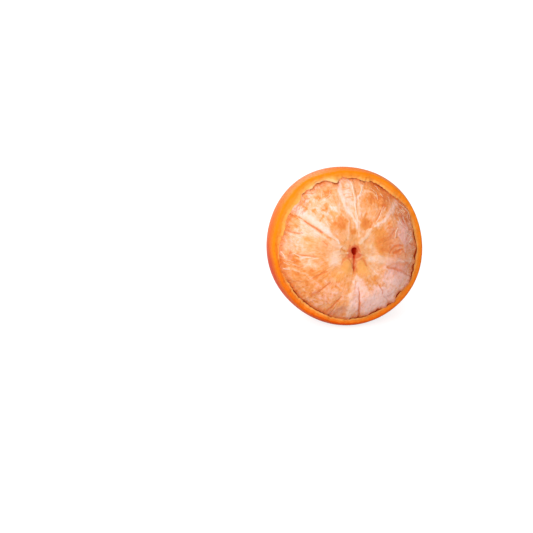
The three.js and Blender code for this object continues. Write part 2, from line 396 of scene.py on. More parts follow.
def add_node(tree, kind, inputs=None, **options):
    """Adds a node with these inputs and options."""
    made = tree.nodes.new(kind)
    for option, value in options.items():
        setattr(made, option, value)
    set_inputs(tree, made, inputs or {})
    return made


def maths(tree, operation, *values):
    return add_node(tree, "ShaderNodeMath", dict(enumerate(values)), operation=operation).outputs[0]


def plus(tree, first, *others):
    """The sum of these sockets and numbers, added one after another."""
    for other in others:
        first = maths(tree, "ADD", first, other)
    return first


def times(tree, first, second):
    return maths(tree, "MULTIPLY", first, second)


def remap(tree, value, low, high, to_low=0.0, to_high=1.0):
    """value between low and high, smoothly, as a number between to_low and to_high."""
    inputs = {"Value": value, "From Min": low, "From Max": high, "To Min": to_low, "To Max": to_high}
    return add_node(tree, "ShaderNodeMapRange", inputs, interpolation_type="SMOOTHSTEP").outputs[0]


# %% Groups, objects, and running a geometry tree
def new_tree(name, kind, inputs, outputs):
    """A node group with these sockets. inputs maps a name to its socket type and default value."""
    tree = bpy.data.node_groups.new(name, kind)
    for socket_name, (socket_type, value) in inputs.items():
        socket = tree.interface.new_socket(socket_name, in_out="INPUT", socket_type=socket_type)
        if value is not None:
            socket.default_value = value
    for socket_name, socket_type in outputs.items():
        tree.interface.new_socket(socket_name, in_out="OUTPUT", socket_type=socket_type)
    return tree, add_node(tree, "NodeGroupInput"), add_node(tree, "NodeGroupOutput")


def give_dressed(tree, geometry, material, out):
    """Ends a geometry tree: its geometry as a real mesh, in this material."""
    real = add_node(tree, "GeometryNodeRealizeInstances", {"Geometry": geometry})
    dressed = {"Geometry": real.outputs[0], "Material": material}
    tree.links.new(add_node(tree, "GeometryNodeSetMaterial", dressed).outputs[0], out.inputs[0])


def place(name, data):
    """An object at the origin that holds this mesh, light or camera."""
    thing = bpy.data.objects.new(name, data)
    bpy.context.scene.collection.objects.link(thing)
    return thing


def finish_with_nodes(name, mesh, tree, material):
    """Runs a geometry tree, with its default values and this material, and keeps its result as a mesh."""
    thing = place(name, mesh)
    modifier = thing.modifiers.new(tree.name, "NODES")
    modifier.node_group = tree
    modifier[tree.interface.items_tree["Material"].identifier] = material
    bpy.context.view_layer.update()
    evaluated = thing.evaluated_get(bpy.context.evaluated_depsgraph_get())
    result = bpy.data.meshes.new_from_object(evaluated)
    result.name = name
    thing.modifiers.remove(modifier)
    bpy.data.objects.remove(thing)
    return place(name, result)


# %% [markdown]
# ## Oil glands in the skin
#
# Citrus skin is full of small oil glands, and each one leaves a shallow pit. There are thousands, spaced
# evenly but never in rows. Geometry Nodes scatters points over the skin no closer than a set distance,
# which is how glands crowd, and sinks every vertex by its distance to the nearest point. The same
# number is kept as an attribute, because a gland is also a little darker than the skin round it.

# %% Sizes of the glands
GLAND_SPACING = 1.15
PIT_RADIUS = 0.52
PIT_DEPTH = 0.11
GLAND_SEED = 3
GLAND_DENSITY = 1.6e6  # points tried per square metre, more than the spacing lets stand
SKIN_DEPTHS = (0.0, 0.3)  # the pits fade round the edge, between these depths
ON_SKIN = 0.9  # glands only stand where the pits keep this share of their depth


# %% A tree that presses the pits
def oil_gland_tree():
    tree, given, out = new_tree(
        "oil_glands",
        "GeometryNodeTree",
        {
            "Geometry": ("NodeSocketGeometry", None),
            "Spacing": ("NodeSocketFloat", GLAND_SPACING * MM),
            "Pit Radius": ("NodeSocketFloat", PIT_RADIUS * MM),
            "Pit Depth": ("NodeSocketFloat", PIT_DEPTH * MM),
            "Seed": ("NodeSocketInt", GLAND_SEED),
            "Material": ("NodeSocketMaterial", None),
        },
        {"Geometry": "NodeSocketGeometry"},
    )
    get = given.outputs
    depth = add_node(tree, "GeometryNodeInputNamedAttribute", {"Name": "peel_depth"}, data_type="FLOAT")
    on_skin = remap(tree, depth.outputs[0], *SKIN_DEPTHS, 1.0, 0.0)
    is_skin = add_node(tree, "FunctionNodeCompare", {0: on_skin, 1: ON_SKIN}, operation="GREATER_THAN")
    scatter = {
        "Mesh": get["Geometry"],
        "Selection": is_skin.outputs[0],
        "Distance Min": get["Spacing"],
        "Density Max": GLAND_DENSITY,
        "Seed": get["Seed"],
    }
    glands = add_node(tree, "GeometryNodeDistributePointsOnFaces", scatter, distribute_method="POISSON")
    target = {"Geometry": glands.outputs["Points"]}
    nearest = add_node(tree, "GeometryNodeProximity", target, target_element="POINTS")
    share = maths(tree, "DIVIDE", nearest.outputs["Distance"], get["Pit Radius"])
    pit = times(tree, remap(tree, share, 0.0, 1.0, 1.0, 0.0), on_skin)
    normal = add_node(tree, "GeometryNodeInputNormal")
    sink = times(tree, times(tree, pit, get["Pit Depth"]), -1.0)
    offset = add_node(tree, "ShaderNodeVectorMath", {0: normal.outputs[0], "Scale": sink}, operation="SCALE")
    keep = {"Geometry": get["Geometry"], "Name": "gland", "Value": pit}
    stored = add_node(tree, "GeometryNodeStoreNamedAttribute", keep, data_type="FLOAT", domain="POINT")
    moved = {"Geometry": stored.outputs[0], "Offset": offset.outputs[0]}
    pressed = add_node(tree, "GeometryNodeSetPosition", moved)
    give_dressed(tree, pressed.outputs[0], get["Material"], out)
    return tree


# %% [markdown]
# ## The segments
#
# Thirteen segments of different widths stand round the core. Each is a half-moon, thick at its round
# back and thin at its inner edge, and its end turns down into the core. A loop makes them from the list
# of their widths. The rows of points are close where the flesh shows and sparse where the rind hides
# it. Neighbours overlap by a hair, so that no light shows between them, and a rounded side leaves a
# shallow groove along each border.

# %% Sizes of the segments, in millimetres
FLESH_RADIUS = 27.8
FLESH_BLOSSOM_HEIGHT = 22.0
FLESH_STEM_HEIGHT = 20.4
CREST_RADIUS = 9.0
SEGMENT_TURNS = [41, 29, 28, 14, 29, 29, 23, 23, 18, 27, 36, 50, 13]  # widths in degrees, clockwise
FIRST_BORDER = 6
CORE_RADIUS = 0.02
CORE_SHIFT = (-0.8, 0.4)
CORE_BELLY = 1.6  # how much wider the open core is halfway down
SHOULDER = 0.06  # how tight the turn from the face into the core is
FACE_INSET = 0.4  # room for pith and lumps inside the plain solid
LAP = 0.05  # how far a segment reaches into its neighbour
SIDE_ROUNDING = 1.1
SIDE_DEPTH = 0.16
SLICE_WIDTH = 0.36

# Rows of a segment's outline: its back, its face, the turn into the core, and its edge in two parts.
OUTLINE_ANGLES = np.radians(
    np.concatenate(
        [
            np.arange(-90, 12, 3),
            np.arange(12, 90, 0.8),
            90 + np.degrees(np.arcsin(np.linspace(0, 0.955, 36) ** (1 / SHOULDER))),
            np.linspace(121, 180, 11),
            np.linspace(188, 262, 10),
        ]
    )
)
print("segments:", len(SEGMENT_TURNS), "in", sum(SEGMENT_TURNS), "degrees,", len(OUTLINE_ANGLES), "rows each")


# %% Points of the flesh
SMALL_ANGLE = 1e-4


def flesh_point(radius, height, turn):
    """The core stands a little off the middle, and the flesh leans over with it."""
    x, y, z = fruit_point(radius, height, turn)
    share = 1 - radius / FLESH_RADIUS
    return x + CORE_SHIFT[0] * share, y + CORE_SHIFT[1] * share, z


def half_moon(angle):
    """A segment's outline, as radius and height. 0 is its back, 90 degrees its blossom tip, 180 its edge."""
    height = np.where(np.sin(angle) > 0, FLESH_BLOSSOM_HEIGHT, FLESH_STEM_HEIGHT) * np.sin(angle)
    reach = np.cos(angle)
    back = CREST_RADIUS + (FLESH_RADIUS - CREST_RADIUS) * reach
    inward = np.maximum(-reach, 0)
    core = CREST_RADIUS - (CREST_RADIUS - CORE_RADIUS) * inward**SHOULDER + CORE_BELLY * inward**6
    return np.where(reach >= 0, back, core), height


def half_moon_normal(angle):
    """The direction straight out of the outline, as its radius and height parts."""
    ahead, behind = half_moon(angle + SMALL_ANGLE), half_moon(angle - SMALL_ANGLE)
    along_radius, along_height = ahead[0] - behind[0], ahead[1] - behind[1]
    length = np.hypot(along_radius, along_height)
    return along_height / length, -along_radius / length


# %% [markdown]
# ## Marks on the face
#
# The face of the fruit has its own map in millimetres: x to the right and y up, as seen along the axis.
# White pith lies in bands along some borders, orange pulp shows bare in round patches, thin creases with
# painted shade run between them, and a pinkish veil, partly thin pith and partly painted sheen, lies over the
# lower right. No rule puts a band or a crease where it is on this fruit, so every mark is listed. A drawn
# mark is a list of x, y and half width at each of its points. A patch is x, y, two half widths, a lean in
# degrees and a strength.

# %% White bands of pith: strength, then the drawn line
PITH_BANDS = [
    (1.0, [(-20.5, 16.3, 1.5), (-18.0, 14.9, 1.5), (-15.0, 12.5, 1.4), (-11.8, 9.3, 1.1)]),
    (1.0, [(-11.8, 9.3, 1.1), (-8.6, 6.2, 0.9), (-6.6, 3.8, 0.45)]),
    (0.55, [(-20.6, 13.6, 0.4), (-17.7, 10.4, 0.5), (-14.2, 7.5, 0.5), (-9.6, 4.3, 0.4)]),
    (0.95, [(-3.0, 25.6, 0.6), (-4.0, 23.1, 0.8), (-3.6, 20.6, 0.9), (-3.2, 17.8, 1.0)]),
    (0.95, [(-3.2, 17.8, 1.0), (-2.0, 15.2, 0.8), (-0.1, 12.2, 0.6), (0.8, 9.0, 0.4)]),
    (0.85, [(1.4, 25.9, 0.3), (1.2, 23.4, 0.35), (0.9, 19.1, 0.4), (0.6, 15.7, 0.4), (1.1, 11.6, 0.4)]),
    (0.85, [(5.7, 24.4, 0.4), (4.2, 22.3, 0.45), (2.5, 20.0, 0.35)]),
    (0.55, [(2.4, 19.6, 0.25), (2.0, 15.6, 0.5), (1.4, 11.8, 0.5), (1.3, 8.6, 0.4)]),
    (0.5, [(-2.3, 11.5, 0.35), (-2.6, 8.5, 0.4), (-3.0, 4.8, 0.35)]),
    (0.6, [(1.1, 8.5, 0.35), (1.3, 5.5, 0.3)]),
    (0.6, [(1.7, 7.9, 0.25), (3.6, 7.4, 0.3), (5.7, 8.3, 0.3)]),
    (0.5, [(5.6, 22.2, 0.3), (8.9, 21.4, 0.35), (10.4, 20.3, 0.3)]),
    (0.85, [(18.4, 16.8, 1.3), (15.0, 13.8, 1.05), (11.7, 11.2, 0.6), (9.6, 10.1, 0.45), (7.2, 8.9, 0.3)]),
    (0.45, [(12.9, 15.9, 0.35), (10.5, 13.2, 0.4), (8.4, 10.6, 0.3)]),
    (0.7, [(5.1, 6.8, 0.9), (3.4, 5.1, 0.8), (1.6, 3.3, 0.4)]),
    (0.7, [(17.2, 7.6, 0.25), (16.1, 6.1, 0.4), (15.9, 4.4, 0.25)]),
    (0.6, [(-8.8, 4.2, 0.9), (-6.7, 2.6, 0.9), (-4.0, 1.4, 0.5)]),
    (0.7, [(5.0, -3.2, 0.9), (8.6, -3.1, 1.4), (12.5, -4.4, 1.3), (16.0, -4.8, 0.9), (20.1, -5.4, 0.6)]),
    (0.25, [(20.1, -5.4, 0.6), (25.4, -6.8, 0.4)]),
    (0.6, [(-0.5, -9.1, 0.3), (-1.5, -12.5, 0.7), (-2.5, -17.2, 0.8), (-1.6, -25.4, 1.2)]),
    (0.6, [(-0.3, -9.1, 0.4), (0.8, -12.6, 0.9), (3.2, -15.5, 1.0), (5.4, -17.9, 1.1), (8.6, -21.4, 1.2)]),
    (0.4, [(-23.2, 0.3, 0.3), (-20.8, -1.0, 0.3), (-18.0, -1.4, 0.3), (-14.7, -1.8, 0.3)]),
    (0.6, [(-26.3, 0.4, 0.4), (-25.3, -1.8, 0.3)]),
    (0.6, [(-26.4, -5.2, 0.4), (-24.0, -6.2, 0.3)]),
    (0.4, [(-24.0, -6.0, 0.3), (-21.0, -6.7, 0.3), (-17.3, -9.1, 0.3)]),
]
print("bands:", len(PITH_BANDS))

# %% Broad zones, whose strength is how much paler (or barer) they are
ZONES = [
    (-15.0, 13.0, 11.0, 11.0, 0, 0.13),
    (-20.5, 2.0, 7.0, 7.0, 0, 0.12),
    (-6.0, 17.0, 7.0, 5.0, 0, 0.07),
    (-0.6, 20.5, 2.4, 5.5, -6, 0.12),
    (-23.5, 13.0, 3.5, 7.0, -35, -0.20),
    (-15.0, -14.0, 12.0, 9.0, -45, -0.20),
    (-4.0, -10.0, 9.0, 7.0, 0, -0.10),
    # The next two darken the flesh as painted shade, beside the upper right rim and on the right side.
    (13.0, 19.5, 8.0, 4.5, -40, -0.36),
    (20.0, 10.0, 5.0, 9.0, 20, -0.12),
    (-15.0, 1.0, 5.0, 5.0, 0, -0.12),
    (-7.0, 11.0, 4.0, 4.0, 0, -0.10),
    (-9.2, -1.6, 3.0, 4.5, 10, 0.20),
    (7.5, -7.0, 3.5, 4.0, 0, 0.10),
    (-20.0, 8.0, 4.0, 3.0, 0, 0.20),
    (-13.0, -10.5, 3.0, 2.0, 0, 0.08),
    (6.0, -9.5, 2.5, 2.0, 0, 0.08),
    (-11.0, 18.0, 5.0, 3.0, -30, 0.10),
    (-9.0, -14.5, 5.0, 3.0, 0, 0.10),
    (-24.0, -5.0, 5.0, 6.0, 0, -0.10),
    (-17.5, -3.8, 4.0, 2.2, 5, 0.24),
    (-12.5, -4.0, 3.5, 4.0, 0, -0.12),
    (-10.0, 6.0, 2.5, 2.5, 0, -0.15),
    (-0.4, 14.0, 1.3, 5.0, -7, 0.03),
    (-16.5, 20.0, 4.0, 4.0, 0, 0.12),
    (-0.5, 25.8, 3.0, 2.5, 0, 0.16),
    (-6.0, 14.0, 3.0, 2.5, 0, 0.09),
    (22.0, -17.5, 3.0, 3.5, 0, 0.12),
    (-18.0, 10.0, 2.5, 2.0, 0, 0.10),
    (-14.0, 6.5, 2.5, 2.0, 0, 0.09),
    (20.5, 6.5, 3.0, 3.0, 0, -0.08),
]
print("zones:", len(ZONES))

# %% White patches of pith
PITH_PATCHES = [
    (-1.2, 20.0, 1.7, 5.5, -6, 0.5),
    (-8.5, -2.9, 3.0, 2.1, 20, 0.75),
    (-7.2, -0.4, 2.6, 1.4, -10, 0.55),
    (5.8, -3.0, 2.4, 1.5, 0, 0.85),
    (5.6, 1.6, 1.8, 1.2, -20, 0.5),
    (-3.5, -0.2, 0.4, 0.3, 0, 1.0),
    (1.6, -0.8, 0.4, 0.3, 0, 1.0),
    (-6.5, 17.2, 2.4, 1.6, 30, 0.35),
    (-12.6, 16.0, 1.2, 1.0, 0, 0.4),
    (-22.5, 3.0, 2.5, 3.5, 0, 0.3),
]
print("white patches:", len(PITH_PATCHES))

# %% Bare pulp
BARE_PATCHES = [
    (-8.7, 22.5, 2.1, 1.0, 15, 0.95),
    (-12.2, 21.0, 1.5, 0.8, 15, 0.7),
    (-15.2, 19.2, 1.0, 0.7, 40, 0.6),
    (-14.7, 15.6, 0.9, 0.6, 30, 0.8),
    (-17.1, 16.9, 0.8, 0.5, 30, 0.7),
    (-12.4, 13.0, 1.3, 0.7, 40, 0.7),
    (-10.6, 17.4, 1.2, 1.0, 60, 0.8),
    (-8.2, 15.0, 1.2, 1.7, 0, 0.6),
    (-5.4, 10.9, 2.4, 2.5, 0, 1.0),
    (-8.1, 6.0, 1.0, 1.6, 5, 0.9),
    (-21.5, 14.0, 0.8, 1.2, -20, 0.9),
    (-21.7, 10.4, 1.1, 0.6, 0, 0.7),
    (-20.5, 8.8, 1.2, 0.5, 0, 0.5),
    (-17.0, 5.5, 2.0, 0.8, 0, 0.4),
    (7.9, 19.4, 3.0, 1.9, -5, 0.85),
    (4.2, 10.4, 2.2, 2.5, -5, 1.0),
    (-0.85, 7.8, 1.1, 1.4, 0, 1.0),
    (10.7, 2.5, 3.8, 3.9, -10, 0.9),
    (9.3, 7.0, 2.6, 1.7, -10, 0.75),
    (14.6, 5.7, 1.6, 0.5, 35, 1.0),
    (13.8, 8.8, 1.7, 0.9, -20, 0.8),
    (16.6, -0.9, 2.3, 1.1, 10, 0.9),
    # Painted shade beside the upper right rim, laid on as bare pulp.
    (12.6, 21.4, 5.5, 1.5, -38, 1.0),
    (-22.4, -3.0, 0.9, 2.3, 5, 1.0),
    (-26.0, -3.4, 0.6, 1.9, 10, 1.0),
    (-23.8, 0.1, 0.8, 0.4, 20, 0.8),
    (-23.6, 2.4, 0.9, 0.5, 0, 0.5),
    (-22.2, -7.8, 1.9, 1.2, -15, 0.8),
    (-4.6, 1.3, 1.1, 0.8, 0, 0.9),
    (-4.1, -4.8, 1.8, 2.6, 5, 0.5),
    (1.65, -5.4, 1.75, 2.6, -5, 0.45),
    (-0.3, -7.4, 0.8, 1.2, 0, 0.8),
    (3.0, -11.3, 1.6, 1.0, 0, 0.6),
    (6.8, -10.6, 1.8, 1.3, 0, 0.6),
]
print("bare patches:", len(BARE_PATCHES))

# %% Creases: depth in millimetres, then the drawn line
CREASES = [
    (0.11, [(-18.6, 12.4, 0.25), (-16.2, 10.6, 0.45), (-13.4, 8.6, 0.45), (-12.4, 7.8, 0.3)]),
    (0.12, [(-20.8, 14.4, 0.2), (-19.2, 13.0, 0.15)]),
    (0.20, [(-23.9, 8.6, 0.25), (-22.4, 7.9, 0.2), (-19.4, 7.9, 0.15)]),
    (0.12, [(-23.7, 10.1, 0.25), (-23.5, 9.7, 0.25)]),
    (0.10, [(-17.5, 19.1, 0.2), (-16.4, 20.3, 0.2), (-15.3, 20.6, 0.15)]),
    (0.10, [(-16.2, 22.2, 0.2), (-14.9, 22.0, 0.15), (-13.4, 22.3, 0.15)]),
    (0.04, [(-12.7, 4.9, 0.2), (-11.0, 3.4, 0.2)]),
    (0.06, [(11.7, -6.8, 0.3), (15.0, -7.8, 0.55), (18.5, -9.0, 0.5), (22.8, -12.1, 0.3)]),
    (0.25, [(0.9, -15.7, 0.15), (1.2, -18.8, 0.3), (1.6, -22.5, 0.45), (2.8, -27.0, 0.6)]),
    (0.06, [(8.9, -13.8, 0.3), (10.4, -16.1, 0.25), (10.6, -17.5, 0.3)]),
    (0.02, [(11.1, -18.7, 0.2), (14.2, -21.4, 0.15)]),
    (0.06, [(-21.8, -5.5, 0.25), (-19.8, -4.7, 0.2)]),
    (0.07, [(-16.4, -9.4, 0.45), (-15.2, -8.4, 0.4), (-13.3, -7.6, 0.35), (-11.5, -6.9, 0.25)]),
    (0.09, [(-16.8, -16.6, 0.4), (-14.5, -14.9, 0.45), (-12.1, -13.0, 0.4), (-10.4, -11.4, 0.3)]),
    (0.08, [(-22.5, -11.0, 0.25), (-20.6, -11.0, 0.25)]),
    (0.15, [(-10.6, -24.4, 0.5), (-8.8, -21.2, 0.35), (-5.8, -17.4, 0.25)]),
    (0.06, [(-21.9, 0.0, 0.25), (-19.9, -0.4, 0.3), (-17.0, -0.9, 0.35), (-15.5, -1.1, 0.25)]),
    (0.04, [(13.6, 17.5, 0.35), (10.6, 14.1, 0.35), (7.6, 10.8, 0.25)]),
    (0.04, [(11.4, 15.9, 0.2), (9.0, 12.8, 0.25)]),
    (0.05, [(6.3, 11.8, 0.2), (6.5, 10.0, 0.25), (5.6, 8.8, 0.2)]),
    (0.12, [(13.1, -1.5, 0.3), (13.8, -0.4, 0.4), (15.4, 0.9, 0.45), (17.6, 1.2, 0.45), (19.0, 0.5, 0.25)]),
    (0.18, [(15.3, -1.5, 0.4), (16.4, -1.1, 0.65), (17.8, -0.7, 0.65), (19.0, -0.9, 0.3)]),
    (0.05, [(16.2, -2.6, 0.25), (17.9, -2.4, 0.3), (19.2, -1.6, 0.25)]),
    (0.12, [(19.4, -1.4, 0.2), (20.3, -2.6, 0.2), (20.5, -3.8, 0.25)]),
    (0.12, [(19.9, -7.6, 0.2), (20.4, -6.5, 0.25), (20.9, -5.9, 0.2)]),
    (0.12, [(22.4, -8.6, 0.2), (23.1, -7.6, 0.25), (23.9, -6.9, 0.3)]),
    (0.20, [(22.9, 1.0, 0.2), (25.4, -0.5, 0.25), (26.7, -1.9, 0.35)]),
    (0.25, [(27.0, -6.9, 0.5), (26.6, -9.0, 0.4)]),
    (0.06, [(20.1, -6.4, 0.25), (22.5, -6.9, 0.2)]),
    (0.12, [(19.6, 16.8, 0.2), (22.6, 14.8, 0.25), (24.4, 11.6, 0.2)]),
    (0.22, [(24.4, 13.0, 0.2), (25.6, 9.9, 0.35), (26.2, 6.8, 0.3)]),
    (0.15, [(19.3, 14.6, 0.3), (20.0, 13.1, 0.35), (20.9, 11.7, 0.2)]),
    (0.18, [(26.4, 4.6, 0.2), (26.9, 3.0, 0.3)]),
    (0.10, [(19.8, -5.4, 0.2), (21.9, -6.9, 0.25), (23.4, -8.2, 0.2)]),
    (0.12, [(21.2, 2.6, 0.2), (22.0, 4.6, 0.2)]),
    (0.10, [(18.7, 15.2, 0.15), (20.4, 13.2, 0.2), (21.9, 10.2, 0.2)]),
    (0.40, [(-1.0, -2.0, 0.35), (-1.1, -3.8, 0.3), (-1.35, -5.8, 0.35), (-1.3, -7.4, 0.15)]),
    (0.10, [(-2.3, 2.6, 0.25), (-2.9, 1.3, 0.15), (-3.6, 0.1, 0.15)]),
    (0.10, [(0.7, 2.0, 0.25), (1.1, 0.8, 0.15), (1.6, -0.5, 0.15)]),
    (0.06, [(-3.0, -0.8, 0.15), (-3.8, -0.85, 0.2), (-6.3, -0.95, 0.15)]),
    (0.06, [(1.0, -1.1, 0.15), (1.6, -1.2, 0.2), (3.1, -1.6, 0.15)]),
    (0.05, [(-6.2, 0.4, 0.15), (-5.8, 1.5, 0.2), (-4.8, 2.2, 0.15)]),
    (
        0.08,
        [(-5.9, -4.2, 0.25), (-5.2, -2.7, 0.35), (-4.1, -2.1, 0.4), (-3.0, -2.4, 0.35), (-2.3, -3.6, 0.2)],
    ),
    (0.08, [(-0.1, -3.9, 0.2), (0.7, -3.0, 0.35), (1.9, -2.8, 0.4), (3.0, -3.8, 0.4), (3.5, -5.4, 0.35)]),
]
print("creases:", len(CREASES), "and the deepest is", max(depth for depth, _ in CREASES), "mm")

# %% [markdown]
# ## The open core
#
# The segments part round the core, and a slit goes down from it. Beside the slit the ends of two
# segments bulge forward. Round the core the inner ends of the others are thin, so they show deep orange.

# %% The core and its slit, painted dark red as shade: strength, then the drawn line
CORE_SLIT = [
    (1.0, [(-1.1, 0.75, 0.4), (-0.5, 0.75, 0.4)]),
    (1.0, [(-0.8, 0.6, 0.5), (-0.8, 0.1, 0.42)]),
    (0.85, [(-0.8, 0.1, 0.45), (-0.82, -2.3, 0.4)]),
    (0.3, [(-0.85, -2.3, 0.4), (-1.0, -4.4, 0.4)]),
    (0.1, [(-1.0, -4.4, 0.4), (-1.15, -5.6, 0.35)]),
    (0.4, [(-1.2, -5.8, 0.35), (-1.25, -6.6, 0.35)]),
    (0.1, [(-1.25, -6.8, 0.35), (-1.25, -7.8, 0.3)]),
]
CORE_SLIT_DEPTH = 1.1
print("parts of the slit:", len(CORE_SLIT))

# %% Deep orange inner ends, and the two that bulge, whose strength is their height
INNER_ENDS = [
    (-0.9, 0.6, 2.2, 2.0, 0, 1.0), (-0.9, -1.3, 3.1, 1.2, 0, 0.95), (-1.1, -4.0, 1.1, 3.4, 0, 0.5),
]
LOBES = [
    (-4.1, -4.9, 2.2, 3.0, 5, 0.5), (1.75, -5.5, 2.15, 3.0, -5, 0.5),
]
print("inner ends:", len(INNER_ENDS), "and bulging ends:", len(LOBES))

# %% [markdown]
# ## Shades of the membrane
#
# The rest of the patches change only the look. A veil of thin pith, partly painted sheen, makes the flesh
# pale and pink. Painted rosy shade darkens the right side and the flesh beside the rim there, and a few small
# patches lower down are the pink of the flesh itself. Ripe pulp is golden. Some places are spotted, wrinkled
# across, pleated or fibrous, because the membrane dried or was pulled as the rind came off. Those fine lines
# follow a rule in the finish, and the patches only say where they show.

# %% A pinkish veil of thin pith, partly painted sheen
VEIL_AND_SHEEN_PATCHES = [
    (20.5, 5.5, 3.6, 6.5, 8, 1.1),
    (16.5, -12.0, 8.0, 7.0, -25, 1.0),
    (9.0, -20.0, 12.0, 7.0, 20, 1.1),
    (0.8, -18.5, 3.8, 9.0, 4, 1.0),
    (-11.0, -16.0, 7.0, 8.0, -35, 0.42),
    (-2.0, 21.0, 3.0, 4.0, 0, 0.35),
]
print("veils:", len(VEIL_AND_SHEEN_PATCHES))

# %% Painted rosy shade, and the pink of the flesh in the last three patches
ROSY_AND_SHADE_PATCHES = [
    (22.0, 3.0, 5.5, 12.0, 0, 0.5),
    (18.0, 14.0, 7.0, 6.0, -40, 0.28),
    (16.5, 1.0, 6.0, 7.0, 0, 0.38),
    (18.0, -7.0, 9.0, 5.5, -15, 0.52),
    (15.5, 6.0, 4.0, 4.0, 0, 0.45),
    (21.0, -9.0, 5.0, 9.0, -20, 0.36),
    (13.5, -18.0, 0.9, 1.4, -20, 0.5),
    (3.3, -21.4, 1.3, 1.3, 0, 0.4),
    (-7.0, -24.0, 4.5, 2.0, 20, 0.5),
]
print("rosy patches:", len(ROSY_AND_SHADE_PATCHES))

# %% Ripe golden pulp
GOLDEN_PATCHES = [
    (-4.1, -5.7, 2.3, 2.9, 5, 0.85),
    (2.0, -6.4, 2.4, 2.9, -5, 1.1),
    (3.6, -7.9, 2.2, 1.6, -20, 0.8),
    (-7.5, -8.4, 4.0, 2.6, 20, 0.6),
    (-8.2, 15.0, 1.2, 1.7, 0, 0.35),
    (-8.1, 6.0, 1.2, 1.6, 5, 0.5),
    (5.6, 1.8, 2.0, 1.8, 0, 0.4),
    (9.3, 6.8, 2.6, 1.8, -10, 0.4),
    (-17.5, 5.0, 4.0, 3.0, 0, 0.3),
]
print("golden patches:", len(GOLDEN_PATCHES))

# %% Where the membrane is spotted, wrinkled across, pleated and fibrous
SPOTTED = [
    (-14.0, 17.0, 12.0, 9.0, -35, 1.0), (-22.5, 2.0, 5.0, 8.0, 0, 0.9), (20.0, 8.0, 7.0, 12.0, 0, 0.7),
    (9.0, -13.0, 9.0, 6.0, 0, 0.8), (11.0, 20.0, 9.0, 5.0, -35, 1.0), (-15.0, -15.0, 9.0, 9.0, 0, 0.3),
]
SPOTTED_LEAST = 0.25  # how spotted it is everywhere else
WRINKLES = [
    (-0.9, 23.0, 2.6, 4.0, -6, 0.6), (-9.0, 24.0, 5.0, 2.5, 15, 0.4), (12.0, 21.5, 7.0, 2.6, -38, 0.4),
]
PLEATS = [
    (21.5, 12.0, 3.2, 6.5, 28, 1.0), (25.5, 1.0, 2.4, 8.0, 0, 0.9), (23.0, -10.0, 2.5, 4.0, -20, 0.6),
    (-19.5, 16.5, 2.5, 4.0, -50, 0.5), (-24.0, -2.0, 2.0, 5.0, 0, 0.5),
]
FIBRES = [
    (20.5, 13.0, 4.0, 7.0, 35, 1.0), (23.5, 0.0, 3.0, 9.0, 0, 0.7), (22.0, -10.0, 4.0, 5.0, -20, 0.7),
    (-5.0, 0.5, 3.0, 2.5, 0, 0.3), (4.0, 0.0, 3.0, 2.0, 0, 0.3), (-17.0, 20.0, 3.0, 5.0, -45, 0.5),
]

# %% [markdown]
# ## Reading the map
#
# One function measures the distance to a drawn line and another to a patch. Both count in half widths,
# so one soft step from full strength to none fades every kind of mark. Zones, pith and bare patches then
# add up to one number, the paleness: 0 is bare deep orange pulp and 1 is white pith. Only the colour
# follows it. For the relief, pith stands up, and bare patches and creases are sunk. A little seeded
# wander moves the map before it is read, which keeps the marks from looking drawn.


# %% Distances on the map, and the strongest mark
def line_distance(points, x, y):
    """Distance to a drawn line, in half widths of that line: under 1 is on it."""
    nearest = np.full(x.shape, 99.0)
    for (ax, ay, a_width), (bx, by, b_width) in zip(points, points[1:]):
        run, rise = bx - ax, by - ay
        share = np.clip(((x - ax) * run + (y - ay) * rise) / (run * run + rise * rise), 0, 1)
        off = np.hypot(x - ax - share * run, y - ay - share * rise)
        nearest = np.minimum(nearest, off / (a_width + share * (b_width - a_width)))
    return nearest


def patch_distance(patch, x, y):
    """Distance to the middle of a patch, in half widths of it."""
    middle_x, middle_y, half_wide, half_high, lean, _ = patch
    lean_cos, lean_sin = math.cos(math.radians(lean)), math.sin(math.radians(lean))
    across, up = x - middle_x, y - middle_y
    wide = (across * lean_cos + up * lean_sin) / half_wide
    high = (up * lean_cos - across * lean_sin) / half_high
    return np.hypot(wide, high)


def strongest(marks):
    return np.maximum.reduce([0 * marks[0], *marks])


def drawn_marks(lines, fade, x, y):
    """How strong each drawn line is here. It fades between these two distances, in half widths."""
    return [strength * (1 - soft_step(*fade, line_distance(points, x, y))) for strength, points in lines]


def patch_marks(patches, fade, x, y):
    """How strong each patch is here. It fades between these two distances, in half widths."""
    return [patch[5] * (1 - soft_step(*fade, patch_distance(patch, x, y))) for patch in patches]


# %% How far the map wanders, in millimetres
WANDER_LENGTHS = (3.2, 1.1)
SHORT_WANDER = 0.4  # how strong the short waves are beside the long ones
LINE_WANDER = 0.1
BAND_WANDER = 0.25
PATCH_WANDER = (0.15, 0.45)  # near the core, and how much more it is further out
PATCH_WANDER_RADII = (8, 14)


def wander_noise(x, y, seed):
    long, short = WANDER_LENGTHS
    return lumps(x, y, long, seed=seed) + SHORT_WANDER * lumps(x, y, short, seed=seed + 1)


# %% Where marks fade, in half widths
SLIT_FADE, CREASE_FADE, BAND_FADE = (0.4, 1.3), (0.3, 1.6), (0.4, 1.6)
PITH_FADE, BARE_FADE, ZONE_FADE = (0.2, 1.4), (0.6, 1.3), (0.3, 1.3)

# The other lists of patches each make one attribute, with a fade of its own.
PATCH_ATTRIBUTES = {
    "veil_and_sheen": (VEIL_AND_SHEEN_PATCHES, (0.2, 1.5)),
    "rosy_and_shade": (ROSY_AND_SHADE_PATCHES, (0.2, 1.3)),
    "golden": (GOLDEN_PATCHES, (0.3, 1.3)),
    "spotted": (SPOTTED, (0.4, 1.3)),
    "wrinkles": (WRINKLES, (0.3, 1.2)),
    "pleats": (PLEATS, (0.3, 1.3)),
    "fibres": (FIBRES, (0.3, 1.3)),
    "inner_end": (INNER_ENDS, (0.75, 1.2)),
}
print("attributes from patches:", ", ".join(PATCH_ATTRIBUTES))

